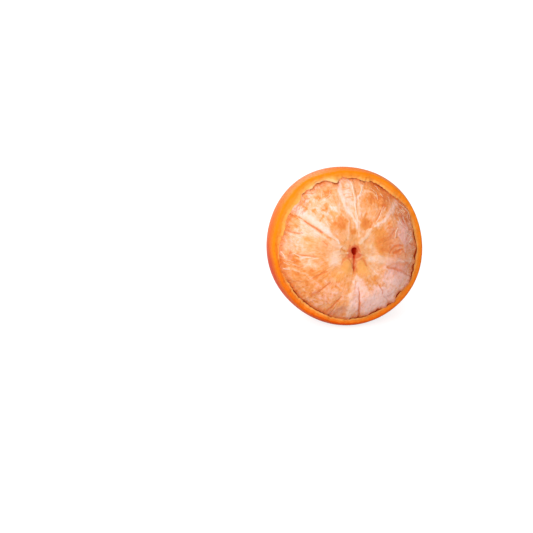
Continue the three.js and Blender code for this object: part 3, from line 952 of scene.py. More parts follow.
# %% Tones and relief of the marks
MIDDLE_TONE, PITH_TONE, BARE_TONE = 0.44, 0.92, 0.10
INSIDE_TONE = 0.45
FACE_HEIGHTS = (2.0, 6.0)  # heights between which the map starts to show
INSET_HEIGHTS = (7.0, 14.0)
CENTRAL_RADII = (5, 18)
# A crease is painted with shade, darker the deeper it is.
LEAST_CREASE, CREASE_PER_MM = 0.5, 4  # how dark a crease is: at least, and more for its depth
PITH_RELIEF = 0.16  # how far pith stands up, in millimetres
BARE_RELIEF = 0.10  # how far it is sunk
UNEVENNESS = [(0.14, 5.0, 31), (0.05, 1.5, 32)]  # depth, length and seed


def face_marks(x, y, z):
    """How pale, veiled and creased the flesh is at these points, with its painted sheen and shade, and how
    far its surface moves there.
    """
    on_face, from_axis = soft_step(*FACE_HEIGHTS, z), np.hypot(x, y)
    off_x, off_y = wander_noise(x, y, seed=21), wander_noise(x, y, seed=23)
    wander = PATCH_WANDER[0] + PATCH_WANDER[1] * soft_step(*PATCH_WANDER_RADII, from_axis)
    for_patches = x + wander * off_x, y + wander * off_y
    for_bands = x + BAND_WANDER * off_x, y + BAND_WANDER * off_y
    for_lines = x + LINE_WANDER * off_x, y + LINE_WANDER * off_y

    slit = strongest(drawn_marks(CORE_SLIT, SLIT_FADE, *for_lines))
    creases = drawn_marks([(1, line) for _, line in CREASES], CREASE_FADE, *for_lines)
    depths = [depth for depth, _ in CREASES]
    sunk = strongest([depth * mark for depth, mark in zip(depths, creases)])
    shades = [min(LEAST_CREASE + CREASE_PER_MM * depth, 1) for depth in depths]
    crease = strongest([shade * mark for shade, mark in zip(shades, creases)])
    bands = drawn_marks(PITH_BANDS, BAND_FADE, *for_bands)
    pith = strongest(bands + patch_marks(PITH_PATCHES, PITH_FADE, *for_patches))
    pith = pith * (1 - crease) * (1 - slit)
    bare = strongest(patch_marks(BARE_PATCHES, BARE_FADE, *for_patches))
    middle = MIDDLE_TONE + sum(patch_marks(ZONES, ZONE_FADE, *for_patches))
    paleness = middle + (PITH_TONE - middle) * pith - (middle - BARE_TONE) * bare * (1 - pith)

    marks = {name: strongest(patch_marks(*listed, *for_patches)) for name, listed in PATCH_ATTRIBUTES.items()}
    marks["spotted"] = np.maximum(marks["spotted"], SPOTTED_LEAST)
    marks.update(pith=pith, bare=bare, crease=crease, core=slit)
    marks = {name: mark * on_face for name, mark in marks.items()}
    marks["paleness"] = INSIDE_TONE + (paleness - INSIDE_TONE) * on_face
    marks["central"] = (1 - soft_step(*CENTRAL_RADII, from_axis)) * on_face

    lobes = sum(lobe[5] * np.sqrt(np.maximum(1 - patch_distance(lobe, x, y) ** 2, 0)) for lobe in LOBES)
    uneven = sum(depth * lumps(x, y, length, seed) for depth, length, seed in UNEVENNESS)
    raised = PITH_RELIEF * pith + lobes + uneven
    lowered = BARE_RELIEF * bare + sunk + CORE_SLIT_DEPTH * slit
    return marks, (raised - lowered) * on_face - FACE_INSET * soft_step(*INSET_HEIGHTS, z)


# %% [markdown]
# ## The flesh beside the rim
#
# The flesh follows the torn rim: it swells a little where the rind still presses on it and stands back at a
# gap. Beside the rim it is painted with shade, and its surface is crinkled where the pith dried. Both fade
# with the height above the rim, and how strong they are is again a list by turn.

# %% Shade and crinkles beside the rim: turn and strength
RIM_SHADE = [
    (0, 0.25), (15, 0.4), (25, 0.9), (48, 0.95), (57, 0.65), (75, 0.5), (90, 0.6), (105, 0.8), (125, 0.7),
    (150, 0.6), (170, 0.7), (190, 0.6), (205, 0.7), (235, 0.65), (250, 0.5), (265, 0.45), (285, 0.35),
    (300, 0.3), (320, 0.15), (335, 0.3),
]
EDGE_SHADE = [
    (0, 0.65), (95, 0.65), (110, 0.4), (165, 0.4), (180, 0.65), (245, 0.65), (260, 0.25), (318, 0.25),
    (325, 0.65),
]
CRINKLED = [
    (0, 0.5), (30, 0.7), (60, 1.0), (110, 1.0), (140, 0.5), (180, 0.5), (230, 0.6), (260, 1.0),
    (330, 1.0),
]
BROAD_FALL = (0, 5, 1.6)  # the rim's shade: the heights above the rim where it fades, and a power
EDGE_FALL = (0, 1.6)
CRINKLE_FALL = (0.8, 4.5)
# Painted shade on the flesh under the rim's inner corner fades in between these depths below it.
TUCKED_SHADE_FALL = (-0.2, 0.7)  # below the rim's inner corner


def rim_values(turn, height):
    """How much painted shade and crinkling the flesh has beside the rim, and how much painted shade lies on
    it under the rim's inner corner.
    """
    above_rim = height - rim_height(turn) - FLAP_RISE * np.maximum(-rim_corner(turn), 0)
    start, end, power = BROAD_FALL
    broad = by_turn(RIM_SHADE, turn) * (1 - soft_step(start, end, above_rim)) ** power
    narrow = by_turn(EDGE_SHADE, turn) * (1 - soft_step(*EDGE_FALL, above_rim))
    return {
        "rim_shade": np.maximum(broad, narrow),
        "crinkled": by_turn(CRINKLED, turn) * (1 - soft_step(*CRINKLE_FALL, above_rim)),
        "tucked_shade": soft_step(*TUCKED_SHADE_FALL, rim_height(turn) - RIM_SLOPE - height),
    }


# %% How the flesh follows the rim
RIM_CONTACT = 0.2  # how far the flesh presses against the rim where they still touch
CONTACT_END = 0.1  # the gap at which they no longer do
SWELL_REACH = 3.5


def rim_fit(turn, radius, height):
    """How far the flesh swells out or sinks in beside the rim, in millimetres."""
    beside_rim = np.exp(-(((height - rim_height(turn)) / SWELL_REACH) ** 2)) * (radius > CREST_RADIUS)
    gap = rim_gap(turn)
    touching = RIM_CONTACT * (1 - soft_step(0, CONTACT_END, gap))
    return beside_rim * (np.maximum(rim_corner(turn), 0) + touching - gap)


# %% One segment
SLICE_CROWDING = 0.3  # how much closer the slices lie at a segment's sides
PITH_FILLS = 0.7  # how much of the groove at a border white pith fills
# The core below the face is painted dark red as shade.
CORE_FALL = (0.7, 1.8)  # how far below the face the dark core starts, inside its radius
CORE_DARK_RADIUS = CREST_RADIUS / 4
STREAK_RADII = (2, 14)


def make_segment(name, start_turn, width):
    """The rings run along the half-moon's outline, one for each slice from side to side."""
    widest = math.radians(width) * FLESH_RADIUS
    steps = np.linspace(-1, 1, 2 * math.ceil(widest / SLICE_WIDTH / 2) + 1)
    slices = (1 - SLICE_CROWDING) * steps + SLICE_CROWDING * np.sin(steps * math.pi / 2)
    slices = slices[:, None]
    turn = math.radians(start_turn) + math.radians(width) * (1 + slices) / 2
    radius, height = half_moon(OUTLINE_ANGLES)
    marks, rise = face_marks(*flesh_point(radius, height + 0 * turn, turn))

    from_side = (1 - np.abs(slices)) * math.radians(width) / 2 * np.maximum(radius, 0)
    rounding = 1 - np.sqrt(1 - (1 - np.minimum(from_side / SIDE_ROUNDING, 1)) ** 2)
    groove = SIDE_DEPTH * rounding * np.minimum(radius / CREST_RADIUS, 1)
    offset = rise + rim_fit(turn, radius, height) - (1 - PITH_FILLS * marks["pith"]) * groove
    out_radius, out_height = half_moon_normal(OUTLINE_ANGLES)
    x, y, z = flesh_point(radius + out_radius * offset, height + out_height * offset, turn)
    sideways = slices * LAP
    rings = to_table(x + sideways * np.cos(turn), y - sideways * np.sin(turn), z)
    heart = ((FLESH_RADIUS + CREST_RADIUS) / 2, 0.0)
    poles = [to_table(*flesh_point(*heart, turn[side, 0])) for side in (0, -1)]

    along = np.cumsum(np.hypot(np.diff(radius, prepend=radius[0]), np.diff(height, prepend=height[0])))
    in_core = soft_step(*CORE_FALL, FLESH_BLOSSOM_HEIGHT - height) * (radius < CORE_DARK_RADIUS)
    values = marks | rim_values(turn, height)
    values["core"] = np.maximum(marks["core"], in_core)
    values["outward"] = soft_step(*STREAK_RADII, radius) + 0 * turn
    values["round_turn"] = np.degrees(turn) + 0 * radius
    values["along_outline"] = along + 0 * turn
    return closed_skin(name, poles[0], rings, poles[1], values)


# %% All the segments
segment_meshes = {}
border = FIRST_BORDER
for number, width in enumerate(SEGMENT_TURNS, start=1):
    node = f"segment_{number:02}"
    segment_meshes[node] = make_segment(f"{node}_fine", border, width)
    border += width
print("segments:", sum(len(mesh.polygons) for mesh in segment_meshes.values()), "faces in all")

# %% [markdown]
# ## Colours and fine grain
#
# Every finish here has the same kind of fine variation: colour that drifts over a few millimetres, with
# small specks in it, and a faint unevenness that catches the light. That is one shader node group with
# its own sizes and strengths in each material. It puts out a colour and a height. The rest of a finish
# is laid over it in layers, and each layer covers as much as an attribute of the mesh says.


# %% Colours, attributes and layers
def mix_colours(tree, amount, first, second, blend="MIX"):
    inputs = {0: amount, 6: first, 7: second}
    return add_node(tree, "ShaderNodeMix", inputs, data_type="RGBA", blend_type=blend).outputs[2]


def lay_over(tree, colour, layers):
    """The colour under these layers. Each layer is how much of it covers the rest, and its colour."""
    for amount, layer in layers:
        colour = mix_colours(tree, amount, colour, layer)
    return colour


def attribute(tree, name):
    made = add_node(tree, "ShaderNodeAttribute", attribute_name=name, attribute_type="GEOMETRY")
    return made.outputs["Fac"]


def noise(tree, vector, size, **inputs):
    """Noise from 0 to 1 with lumps about this many millimetres across. inputs are the node's own."""
    scaled = {"Vector": vector, "Scale": 1 / (size * MM), **inputs}
    return add_node(tree, "ShaderNodeTexNoise", scaled).outputs[0]


def centred(tree, value):
    """A noise from 0 to 1 as a number round 0."""
    return maths(tree, "SUBTRACT", value, 0.5)


def bump(tree, height, strength, distance):
    inputs = {"Height": height, "Strength": strength, "Distance": distance}
    return add_node(tree, "ShaderNodeBump", inputs).outputs[0]


# %% A shader group for drift and specks
DRIFT_EDGES = (0.3, 0.7)  # the noise between which one colour turns into the other
SPECK_HEIGHT = 0.5  # how high the specks stand beside the drift


def drift_group():
    tree, given, out = new_tree(
        "drift_and_specks",
        "ShaderNodeTree",
        {
            "Vector": ("NodeSocketVector", None),
            "Colour": ("NodeSocketColor", (0.8, 0.8, 0.8, 1)),
            "Second Colour": ("NodeSocketColor", (0.7, 0.7, 0.7, 1)),
            "Drift Size": ("NodeSocketFloat", 4.0),
            "Speck Size": ("NodeSocketFloat", 0.5),
            "Drift": ("NodeSocketFloat", 0.5),
            "Specks": ("NodeSocketFloat", 0.1),
        },
        {"Colour": "NodeSocketColor", "Height": "NodeSocketFloat"},
    )
    get = given.outputs

    def layer(size, detail, roughness):
        scale = maths(tree, "DIVIDE", 1.0, get[size])
        inputs = {"Vector": get["Vector"], "Scale": scale, "Detail": detail, "Roughness": roughness}
        return add_node(tree, "ShaderNodeTexNoise", inputs).outputs[0]

    broad, fine = layer("Drift Size", 3.0, 0.55), layer("Speck Size", 2.0, 0.6)
    amount = times(tree, remap(tree, broad, *DRIFT_EDGES), get["Drift"])
    drifted = mix_colours(tree, amount, get["Colour"], get["Second Colour"])
    bright = plus(tree, 1.0, times(tree, centred(tree, fine), get["Specks"]))
    shaded = add_node(tree, "ShaderNodeVectorMath", {0: drifted, "Scale": bright}, operation="SCALE")
    tree.links.new(shaded.outputs[0], out.inputs["Colour"])
    tree.links.new(plus(tree, broad, times(tree, fine, SPECK_HEIGHT)), out.inputs["Height"])
    return tree


drift_and_specks = drift_group()


def drift(tree, vector, colour, second, size, speck, amount, specks):
    """The drift group with these values, as its node. Both sizes are in millimetres."""
    sizes = {"Drift Size": size * MM, "Speck Size": speck * MM}
    inputs = {"Vector": vector, "Colour": colour, "Second Colour": second, "Drift": amount, "Specks": specks}
    return add_node(tree, "ShaderNodeGroup", inputs | sizes, node_tree=drift_and_specks)


# %% A new material
def new_material(name):
    """The material, its tree, its Principled shader, and the place in the object."""
    material = bpy.data.materials.new(name)
    material.use_nodes = True
    tree = material.node_tree
    tree.nodes.clear()
    shader = add_node(tree, "ShaderNodeBsdfPrincipled")
    add_node(tree, "ShaderNodeOutputMaterial", {"Surface": shader.outputs[0]})
    return material, tree, shader, add_node(tree, "ShaderNodeTexCoord").outputs["Object"]


# %% [markdown]
# ## The rind's finish
#
# Going in from the outside, the rind is waxy orange, then a thin golden layer, then cream pith and white
# pith. The depth under the skin is an attribute of the mesh, so one list of layers paints them all, at the
# torn face and inside the cup. The skin is a little darker in its pits and golden beside the rim. Down the
# lower sides it is painted a deeper orange, as painted shade and painted red reflected light. Deep in a gap
# the pith is painted dark as shade, with a faint painted glow for the light that thin pith lets through.

# %% Colours of the rind
ZEST = (0.82, 0.175, 0.003, 1)
# Deep orange: the skin's own drift, and also the painted shade and painted red reflected light down the lower
# sides.
ZEST_DEEP_AND_SHADE = (0.64, 0.045, 0.001, 1)
ZEST_RIM = (0.82, 0.215, 0.005, 1)
GLAND = (0.70, 0.095, 0.002, 1)
GOLD = (0.78, 0.25, 0.022, 1)
CREAM = (0.79, 0.34, 0.075, 1)
WHITE = (0.78, 0.46, 0.20, 1)
# The first is painted shade deep in the gaps beside the rim and on the flesh under its inner corner. The
# second is a faint painted glow there, for light through thin pith.
GAP_SHADE = (0.46, 0.08, 0.008, 1)
GAP_GLOW = (0.12, 0.016, 0.003, 1)
BLACK = (0, 0, 0, 1)

# %% How the layers of the rind lie, in millimetres
GOLDEN_RIM = (0.3, 5.0)  # how far below the rim the golden skin starts and stops fading
GLAND_SHADE = 0.45
GOLD_DEPTHS, CREAM_PITH_DEPTHS, WHITE_PITH_DEPTHS = (0.35, 0.9), (1.2, 2.0), (2.2, 2.7)
# The golden layer takes on this much of the deep side's painted shade.
DEEP_GOLD = 0.4  # how much of the deep orange the golden layer takes on
LAYER_WAVES = (1.6, 1.1)  # length and height of the waves between the layers
# The gap's painted shade lies between these drops below the rim and these depths below the skin.
GAP_DROPS, GAP_DEPTHS = (0.3, 1.1), (2.3, 2.5)  # below the rim, and below the skin
WAXY_DEPTHS = (0.1, 0.8)
PITH_ROUGHNESS = 0.62
WAX = 0.26  # how much less rough the skin is than the pith


# %% Waxy orange skin over cream pith
def rind_colour(tree, where, zest):
    """The skin and what lies under it, from the outside in."""
    deep_side_shade, below_rim = attribute(tree, "deep_side_shade"), attribute(tree, "below_rim")
    golden = times(tree, remap(tree, below_rim, *GOLDEN_RIM, 1.0, 0.0), attribute(tree, "rim_gold"))
    pits = times(tree, attribute(tree, "gland"), GLAND_SHADE)
    # The deep side is painted shade and painted red reflected light.
    skin = lay_over(tree, zest, [(deep_side_shade, ZEST_DEEP_AND_SHADE), (golden, ZEST_RIM), (pits, GLAND)])

    length, height = LAYER_WAVES
    waves = times(tree, centred(tree, noise(tree, where, length, Detail=3.0)), height)
    depth = plus(tree, attribute(tree, "peel_depth"), attribute(tree, "rim_cream"), waves)
    # The golden layer takes on some of the deep side's painted shade.
    gold = mix_colours(tree, times(tree, deep_side_shade, DEEP_GOLD), GOLD, ZEST_DEEP_AND_SHADE)
    layers = [(GOLD_DEPTHS, gold), (CREAM_PITH_DEPTHS, CREAM), (WHITE_PITH_DEPTHS, WHITE)]
    return lay_over(tree, skin, [(remap(tree, depth, *depths), colour) for depths, colour in layers])


def waxy_rind():
    material, tree, shader, where = new_material("waxy_rind")
    zest = drift(tree, where, ZEST, ZEST_DEEP_AND_SHADE, size=9.0, speck=0.9, amount=0.22, specks=0.18)
    peel_depth = attribute(tree, "peel_depth")
    # Deep in a gap the pith is painted dark as shade, with a faint painted glow.
    down_gap = remap(tree, attribute(tree, "below_rim"), *GAP_DROPS)
    gap_shade = times(tree, down_gap, remap(tree, peel_depth, *GAP_DEPTHS))
    wax = times(tree, remap(tree, peel_depth, *WAXY_DEPTHS, 1.0, 0.0), WAX)
    look = {
        "Base Color": mix_colours(tree, gap_shade, rind_colour(tree, where, zest.outputs["Colour"]), GAP_SHADE),
        "Emission Color": mix_colours(tree, gap_shade, BLACK, GAP_GLOW),
        "Emission Strength": 1.0,
        "Roughness": maths(tree, "SUBTRACT", PITH_ROUGHNESS, wax),
        "Specular IOR Level": 0.06,
        "Specular Tint": (1, 0.6, 0.35, 1),
        "Subsurface Weight": 0.08,
        "Subsurface Radius": (1.0, 0.4, 0.1),
        "Subsurface Scale": 1.0 * MM,
        "Normal": bump(tree, zest.outputs["Height"], 0.25, 0.15 * MM),
    }
    set_inputs(tree, shader, look)
    material.cycles.emission_sampling = "NONE"  # the faint glow isn't a lamp
    return material


# %% Press the pits and dress the rind
rind_piece = finish_with_nodes("rind_fine", rind_mesh, oil_gland_tree(), waxy_rind())
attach(rind_piece, "root")
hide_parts("rind")
print("rind dressed:", len(rind_piece.data.polygons), "faces")

# %% [markdown]
# ## The segments' finish
#
# A segment is pulp behind a thin membrane. The membrane is pale where it is thick and shows the orange juice
# sacs where it is thin, in streaks that run from the rim to the core. So the streaks read two attributes, the
# turn round the fruit and the distance along the outline, and not plain space. Over them lie the marks of the
# face: the veil with its painted sheen, golden patches, painted rosy shade, fine lines, painted shade beside
# the rim and in the creases, and the core's painted shade.

# %% Colours of the flesh
# Tones from bare pulp to white pith: the paleness that each one stands at, and its colour.
TONES = [
    (0.00, (0.69, 0.160, 0.024, 1)),
    (0.25, (0.76, 0.265, 0.062, 1)),
    (0.50, (0.81, 0.355, 0.155, 1)),
    (0.75, (0.83, 0.465, 0.295, 1)),
    (1.00, (0.86, 0.600, 0.515, 1)),
]
# Pale pink of thin pith, partly painted sheen.
VEIL_AND_SHEEN = (0.92, 0.590, 0.540, 1)
GOLDEN = (0.86, 0.365, 0.095, 1)
# Painted rosy shade, and also the pink of a few spots of flesh.
ROSE_AND_SHADE = (0.60, 0.180, 0.120, 1)
# Painted shade beside the rim, and also the brown of the fine lines.
LINE_BROWN_AND_RIM_SHADE = (0.64, 0.125, 0.022, 1)
# Painted shade in the creases.
CREASE_SHADE = (0.68, 0.150, 0.030, 1)
INNER_END = (0.67, 0.130, 0.042, 1)
CENTRAL_TINT = (0.89, 0.95, 0.96, 1)
# Painted shade in the core and slit, then a faint painted glow there for light through the flesh.
CORE_SHADE = (0.62, 0.045, 0.005, 1)
CORE_GLOW = (0.09, 0.003, 0.001, 1)

# %% Grain along the segments: scale per degree of turn and per millimetre of length, and detail
STREAKS = (0.30, 0.22, 4.0)
CROSS_LINES = (0.12, 1.3, 2.0)
FIBRE_LINES = (1.1, 0.16, 3.0)
PLEAT_LINES = (0.08, 0.6, 2.0)
SACS = (0.42, 0.38)


def along_segment(tree, per_degree, per_millimetre):
    """A place on the flesh, by turn and by length from rim to core, each with its own scale."""
    turns = times(tree, attribute(tree, "round_turn"), per_degree)
    lengths = times(tree, attribute(tree, "along_outline"), per_millimetre)
    return add_node(tree, "ShaderNodeCombineXYZ", {0: turns, 1: lengths}).outputs[0]


def stretched_noise(tree, per_degree, per_millimetre, detail):
    place_on = along_segment(tree, per_degree, per_millimetre)
    inputs = {"Vector": place_on, "Scale": 1.0, "Detail": detail}
    return add_node(tree, "ShaderNodeTexNoise", inputs).outputs[0]


def juice_sacs(tree):
    """Distance to the edge of the nearest juice sac. Sacs are long from rim to core, and slim."""
    cells = {"Vector": along_segment(tree, *SACS), "Scale": 1.0, "Randomness": 1.0}
    return add_node(tree, "ShaderNodeTexVoronoi", cells, feature="DISTANCE_TO_EDGE").outputs["Distance"]


def flesh_noises(tree, where):
    return {
        "streak": stretched_noise(tree, *STREAKS),
        "across": stretched_noise(tree, *CROSS_LINES),
        "fibre": stretched_noise(tree, *FIBRE_LINES),
        "pleat": stretched_noise(tree, *PLEAT_LINES),
        "sac": juice_sacs(tree),
        "fleck": noise(tree, where, 2.0, Detail=4.0, Roughness=0.65),
        "spot": noise(tree, where, 2.3, Detail=2.5, Roughness=0.5, Distortion=0.4),
        "crinkle": noise(tree, where, 1.1, Detail=1.0),
    }


# %% How the grain mottles the paleness
STREAK_SWING, FLECK_SWING, CROSS_SWING, FIBRE_SWING = 0.20, 0.19, 0.30, 0.5
CALM = 0.6  # how much less mottled bare pulp and white pith are

# Each turns a noise between the first two values into a number between the last two.
SAC_TONES = (0.0, 0.35, 0.10, -0.06)
THIN_SPOTS = (0.53, 0.59, 0.0, -0.16)
THICK_SPOTS = (0.40, 0.46, 0.12, 0.0)


def swing(tree, noise_value, amount):
    """A noise, which mostly keeps within a quarter of its middle, as a swing of this much round 0."""
    return times(tree, centred(tree, noise_value), 4 * amount)


def mottle(tree, noises):
    """How much paler or barer the grain makes the flesh."""
    sacs = remap(tree, noises["sac"], *SAC_TONES)
    streaks = plus(tree, sacs, swing(tree, noises["streak"], STREAK_SWING))
    spots = plus(tree, remap(tree, noises["spot"], *THIN_SPOTS), remap(tree, noises["spot"], *THICK_SPOTS))
    streaky = times(tree, streaks, attribute(tree, "outward"))
    spotted = times(tree, spots, attribute(tree, "spotted"))
    cloudy = plus(tree, streaky, spotted, swing(tree, noises["fleck"], FLECK_SWING))
    smooth = maths(tree, "MAXIMUM", attribute(tree, "bare"), attribute(tree, "pith"))
    calm = maths(tree, "SUBTRACT", 1.0, times(tree, smooth, CALM))
    wrinkled = times(tree, swing(tree, noises["across"], CROSS_SWING), attribute(tree, "wrinkles"))
    fibrous = times(tree, swing(tree, noises["fibre"], FIBRE_SWING), attribute(tree, "fibres"))
    return plus(tree, times(tree, cloudy, calm), wrinkled, fibrous)


# %% Fine brown lines, and the layers over the tone
# Each turns a noise between the first two values into the strength of a line, between the last two.
CRINKLE_SHADES = (0.01, 0.06, 0.7, 0.0)
WRINKLE_SHADES = (0.40, 0.50, 0.6, 0.0)
PLEAT_SHADES = (0.44, 0.50, 0.9, 0.0)
VEIL_COVER = (0.1, 1.2, 0.0, 0.85)
VEIL_SWING = 0.55
SHADE_SWING = 0.3
GOLDEN_COVER, CREASE_COVER = 0.8, 0.8


def brown_lines(tree, noises):
    """How strong the lines are: crinkles beside the rim, wrinkles across the segments, and pleats."""
    from_middle = maths(tree, "ABSOLUTE", centred(tree, noises["crinkle"]))
    lines = times(tree, remap(tree, from_middle, *CRINKLE_SHADES), attribute(tree, "crinkled"))
    for value, shades, mark in [("across", WRINKLE_SHADES, "wrinkles"), ("pleat", PLEAT_SHADES, "pleats")]:
        more = times(tree, remap(tree, noises[value], *shades), attribute(tree, mark))
        lines = maths(tree, "MAXIMUM", lines, more)
    return lines


def tone_ramp(tree, value):
    ramp = add_node(tree, "ShaderNodeValToRGB", {0: value})
    stops = ramp.color_ramp.elements
    stops[0].position, stops[0].color = TONES[0]
    stops[1].position, stops[1].color = TONES[-1]
    for position, colour in TONES[1:-1]:
        stops.new(position).color = colour
    return ramp.outputs[0]


def flesh_colour(tree, noises, mottled):
    """The tone of the flesh under all the marks that change its colour, painted sheen and shade among them.
    """
    tone = tone_ramp(tree, plus(tree, attribute(tree, "paleness"), mottled))
    veil_and_sheen = plus(tree, attribute(tree, "veil_and_sheen"), swing(tree, noises["fleck"], VEIL_SWING))
    fibre, fleck = swing(tree, noises["fibre"], FIBRE_SWING), swing(tree, noises["fleck"], SHADE_SWING)
    rim_shade = times(tree, attribute(tree, "rim_shade"), plus(tree, 1.0, fibre, fleck))
    layers = [
        (remap(tree, veil_and_sheen, *VEIL_COVER), VEIL_AND_SHEEN),
        (times(tree, attribute(tree, "golden"), GOLDEN_COVER), GOLDEN),
        (attribute(tree, "rosy_and_shade"), ROSE_AND_SHADE),
        (rim_shade, LINE_BROWN_AND_RIM_SHADE),
        (brown_lines(tree, noises), LINE_BROWN_AND_RIM_SHADE),
        (times(tree, attribute(tree, "crease"), CREASE_COVER), CREASE_SHADE),
        (attribute(tree, "inner_end"), INNER_END),
    ]
    marked = lay_over(tree, tone, layers)
    return mix_colours(tree, attribute(tree, "central"), marked, CENTRAL_TINT, blend="MULTIPLY")


# %% Moist membrane over orange pulp
FLESH_ROUGHNESS = (0.42, 0.62)  # of bare pulp and of white pith


def moist_flesh():
    material, tree, shader, where = new_material("moist_flesh")
    noises = flesh_noises(tree, where)
    mottled = mottle(tree, noises)
    # Flesh under the rim's inner corner, and the core and slit, are painted dark as shade, with a faint
    # painted glow.
    tucked_shade, core = attribute(tree, "tucked_shade"), attribute(tree, "core")
    look = {
        "Base Color": lay_over(tree, flesh_colour(tree, noises, mottled), [(tucked_shade, GAP_SHADE), (core, CORE_SHADE)]),
        "Emission Color": lay_over(tree, BLACK, [(tucked_shade, GAP_GLOW), (core, CORE_GLOW)]),
        "Emission Strength": 1.0,
        "Roughness": remap(tree, attribute(tree, "pith"), 0.0, 1.0, *FLESH_ROUGHNESS),
        "Specular IOR Level": 0.15,
        "Subsurface Weight": 0.35,
        "Subsurface Radius": (1.0, 0.6, 0.4),
        "Subsurface Scale": 0.5 * MM,
        "Normal": bump(tree, mottled, 0.6, 0.35 * MM),
    }
    set_inputs(tree, shader, look)
    material.cycles.emission_sampling = "NONE"  # the faint glow isn't a lamp
    return material


flesh_finish = moist_flesh()

# %% Dress the segments
for node, mesh in segment_meshes.items():
    piece = place(f"{node}_fine", mesh)
    mesh.materials.append(flesh_finish)
    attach(piece, "root")
    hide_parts(node)
print("segments dressed:", len(segment_meshes))

# %% [markdown]
# ## Threads of pith
#
# Pulling the rind off leaves loose threads of pith on the flesh. A few thick ones are listed, and crowds of
# hair-thin ones lie along the rim, some pointing to the core and some beside the rim. A thread is a line of
# points on the flesh, kept as plain edges with a thickness. Geometry Nodes turns the edges into curves and
# sweeps a small circle along them.

# %% Thick threads, by radius and places on the face
THREADS = [
    (0.15, [(1.4, 25.9), (1.2, 23.4), (0.9, 21.0), (0.9, 19.1), (0.6, 15.7), (1.0, 13.1), (0.9, 11.0)]),
    (0.15, [(5.7, 24.4), (4.9, 23.2), (4.2, 22.3), (3.2, 21.0), (2.5, 20.0)]),
    (0.12, [(17.2, 7.6), (16.5, 6.9), (16.1, 6.0), (15.9, 4.4)]),
    (0.11, [(-23.2, 0.3), (-20.8, -0.9), (-18.0, -1.3), (-14.7, -1.8)]),
    (0.14, [(-26.3, 0.4), (-25.6, -0.6), (-25.3, -1.8)]),
    (0.13, [(-26.4, -5.2), (-25.2, -5.9), (-24.0, -6.3)]),
    (0.07, [(-20.2, 13.3), (-17.7, 10.4), (-14.2, 7.5), (-11.8, 5.9)]),
    (0.08, [(12.6, 16.4), (11.2, 14.8), (9.6, 12.4), (8.2, 10.6)]),
    (0.09, [(20.3, 17.0), (22.4, 15.6), (24.1, 13.4), (25.0, 10.8)]),
    (0.08, [(19.4, 16.2), (21.2, 14.6), (23.0, 12.2), (23.9, 9.8)]),
    (0.07, [(18.4, 15.4), (20.2, 13.2), (21.6, 10.8)]),
    (0.06, [(23.4, -6.4), (21.2, -5.6), (19.0, -5.4), (16.8, -4.7), (14.6, -4.5)]),
]
print("thick threads:", len(THREADS))

# %% Crowds of thin ones: turns from and to, radii from and to, count, and lean off the way to the core
THREAD_CROWDS = [
    (48, 78, 21.0, 26.0, 22, -97),
    (80, 130, 24.0, 26.5, 14, -20),
    (14, 45, 24.0, 26.3, 8, -60),
    (310, 345, 23.5, 26.0, 10, 60),
    (240, 300, 24.0, 26.5, 14, 15),
]
THREAD_SEED = 77
THIN_RADII = (0.03, 0.07)
THREAD_POINT_GAP = 0.5
THREAD_POINTS = (3, 8)  # at least 3 after the first, and fewer than 8
HEADING_SPREAD = 16  # degrees
HEADING_WANDER = 0.12  # radians for each step
print("thin threads:", sum(crowd[4] for crowd in THREAD_CROWDS))


# %% Lines of points on the flesh
def from_core_axis(x, y, share):
    """A place on the face without its share of the core's shift."""
    return x - CORE_SHIFT[0] * share, y - CORE_SHIFT[1] * share


def on_flesh(x, y, lift):
    """Points on the face of the flesh at these places, this far above it, in metres."""
    share = 0 * x
    for _ in range(4):  # the shift depends on the radius, and four rounds settle it
        plain_x, plain_y = from_core_axis(x, y, share)
        turn = np.arctan2(plain_x, plain_y)
        swell_x, swell_y, _ = fruit_point(1.0, 0.0, turn)
        radius = np.hypot(plain_x, plain_y) / np.hypot(swell_x, swell_y)
        share = 1 - radius / FLESH_RADIUS
    angle = np.arccos(np.clip((radius - CREST_RADIUS) / (FLESH_RADIUS - CREST_RADIUS), 0, 1))
    height = half_moon(angle)[1]
    offset = face_marks(x, y, height)[1] + rim_fit(turn, radius, height) + lift
    out_radius, out_height = half_moon_normal(angle)
    return to_table(*flesh_point(radius + out_radius * offset, height + out_height * offset, turn))


def crowd_lines(crowd, rng):
    """Short lines of places on the face, each wandering a little as it goes."""
    turn_from, turn_to, radius_from, radius_to, count, lean = crowd
    lines = []
    for _ in range(count):
        turn = math.radians(rng.uniform(turn_from, turn_to))
        radius = rng.uniform(radius_from, radius_to)
        x, y = radius * math.sin(turn), radius * math.cos(turn)
        heading = math.atan2(-x, -y) + math.radians(lean + rng.normal(0, HEADING_SPREAD))
        line = [(x, y)]
        for _ in range(rng.integers(*THREAD_POINTS)):
            x, y = x + THREAD_POINT_GAP * math.sin(heading), y + THREAD_POINT_GAP * math.cos(heading)
            line.append((x, y))
            heading += rng.normal(0, HEADING_WANDER)
        lines.append(line)
    return lines


# %% Threads as edges with a thickness
THREAD_ENDS = (0.12, 0.88)  # the part of a half wave that a thread's thickness follows
THREAD_LEAST = 0.4  # how thick it is at least, as a share of its radius
THREAD_LIFT = 0.3


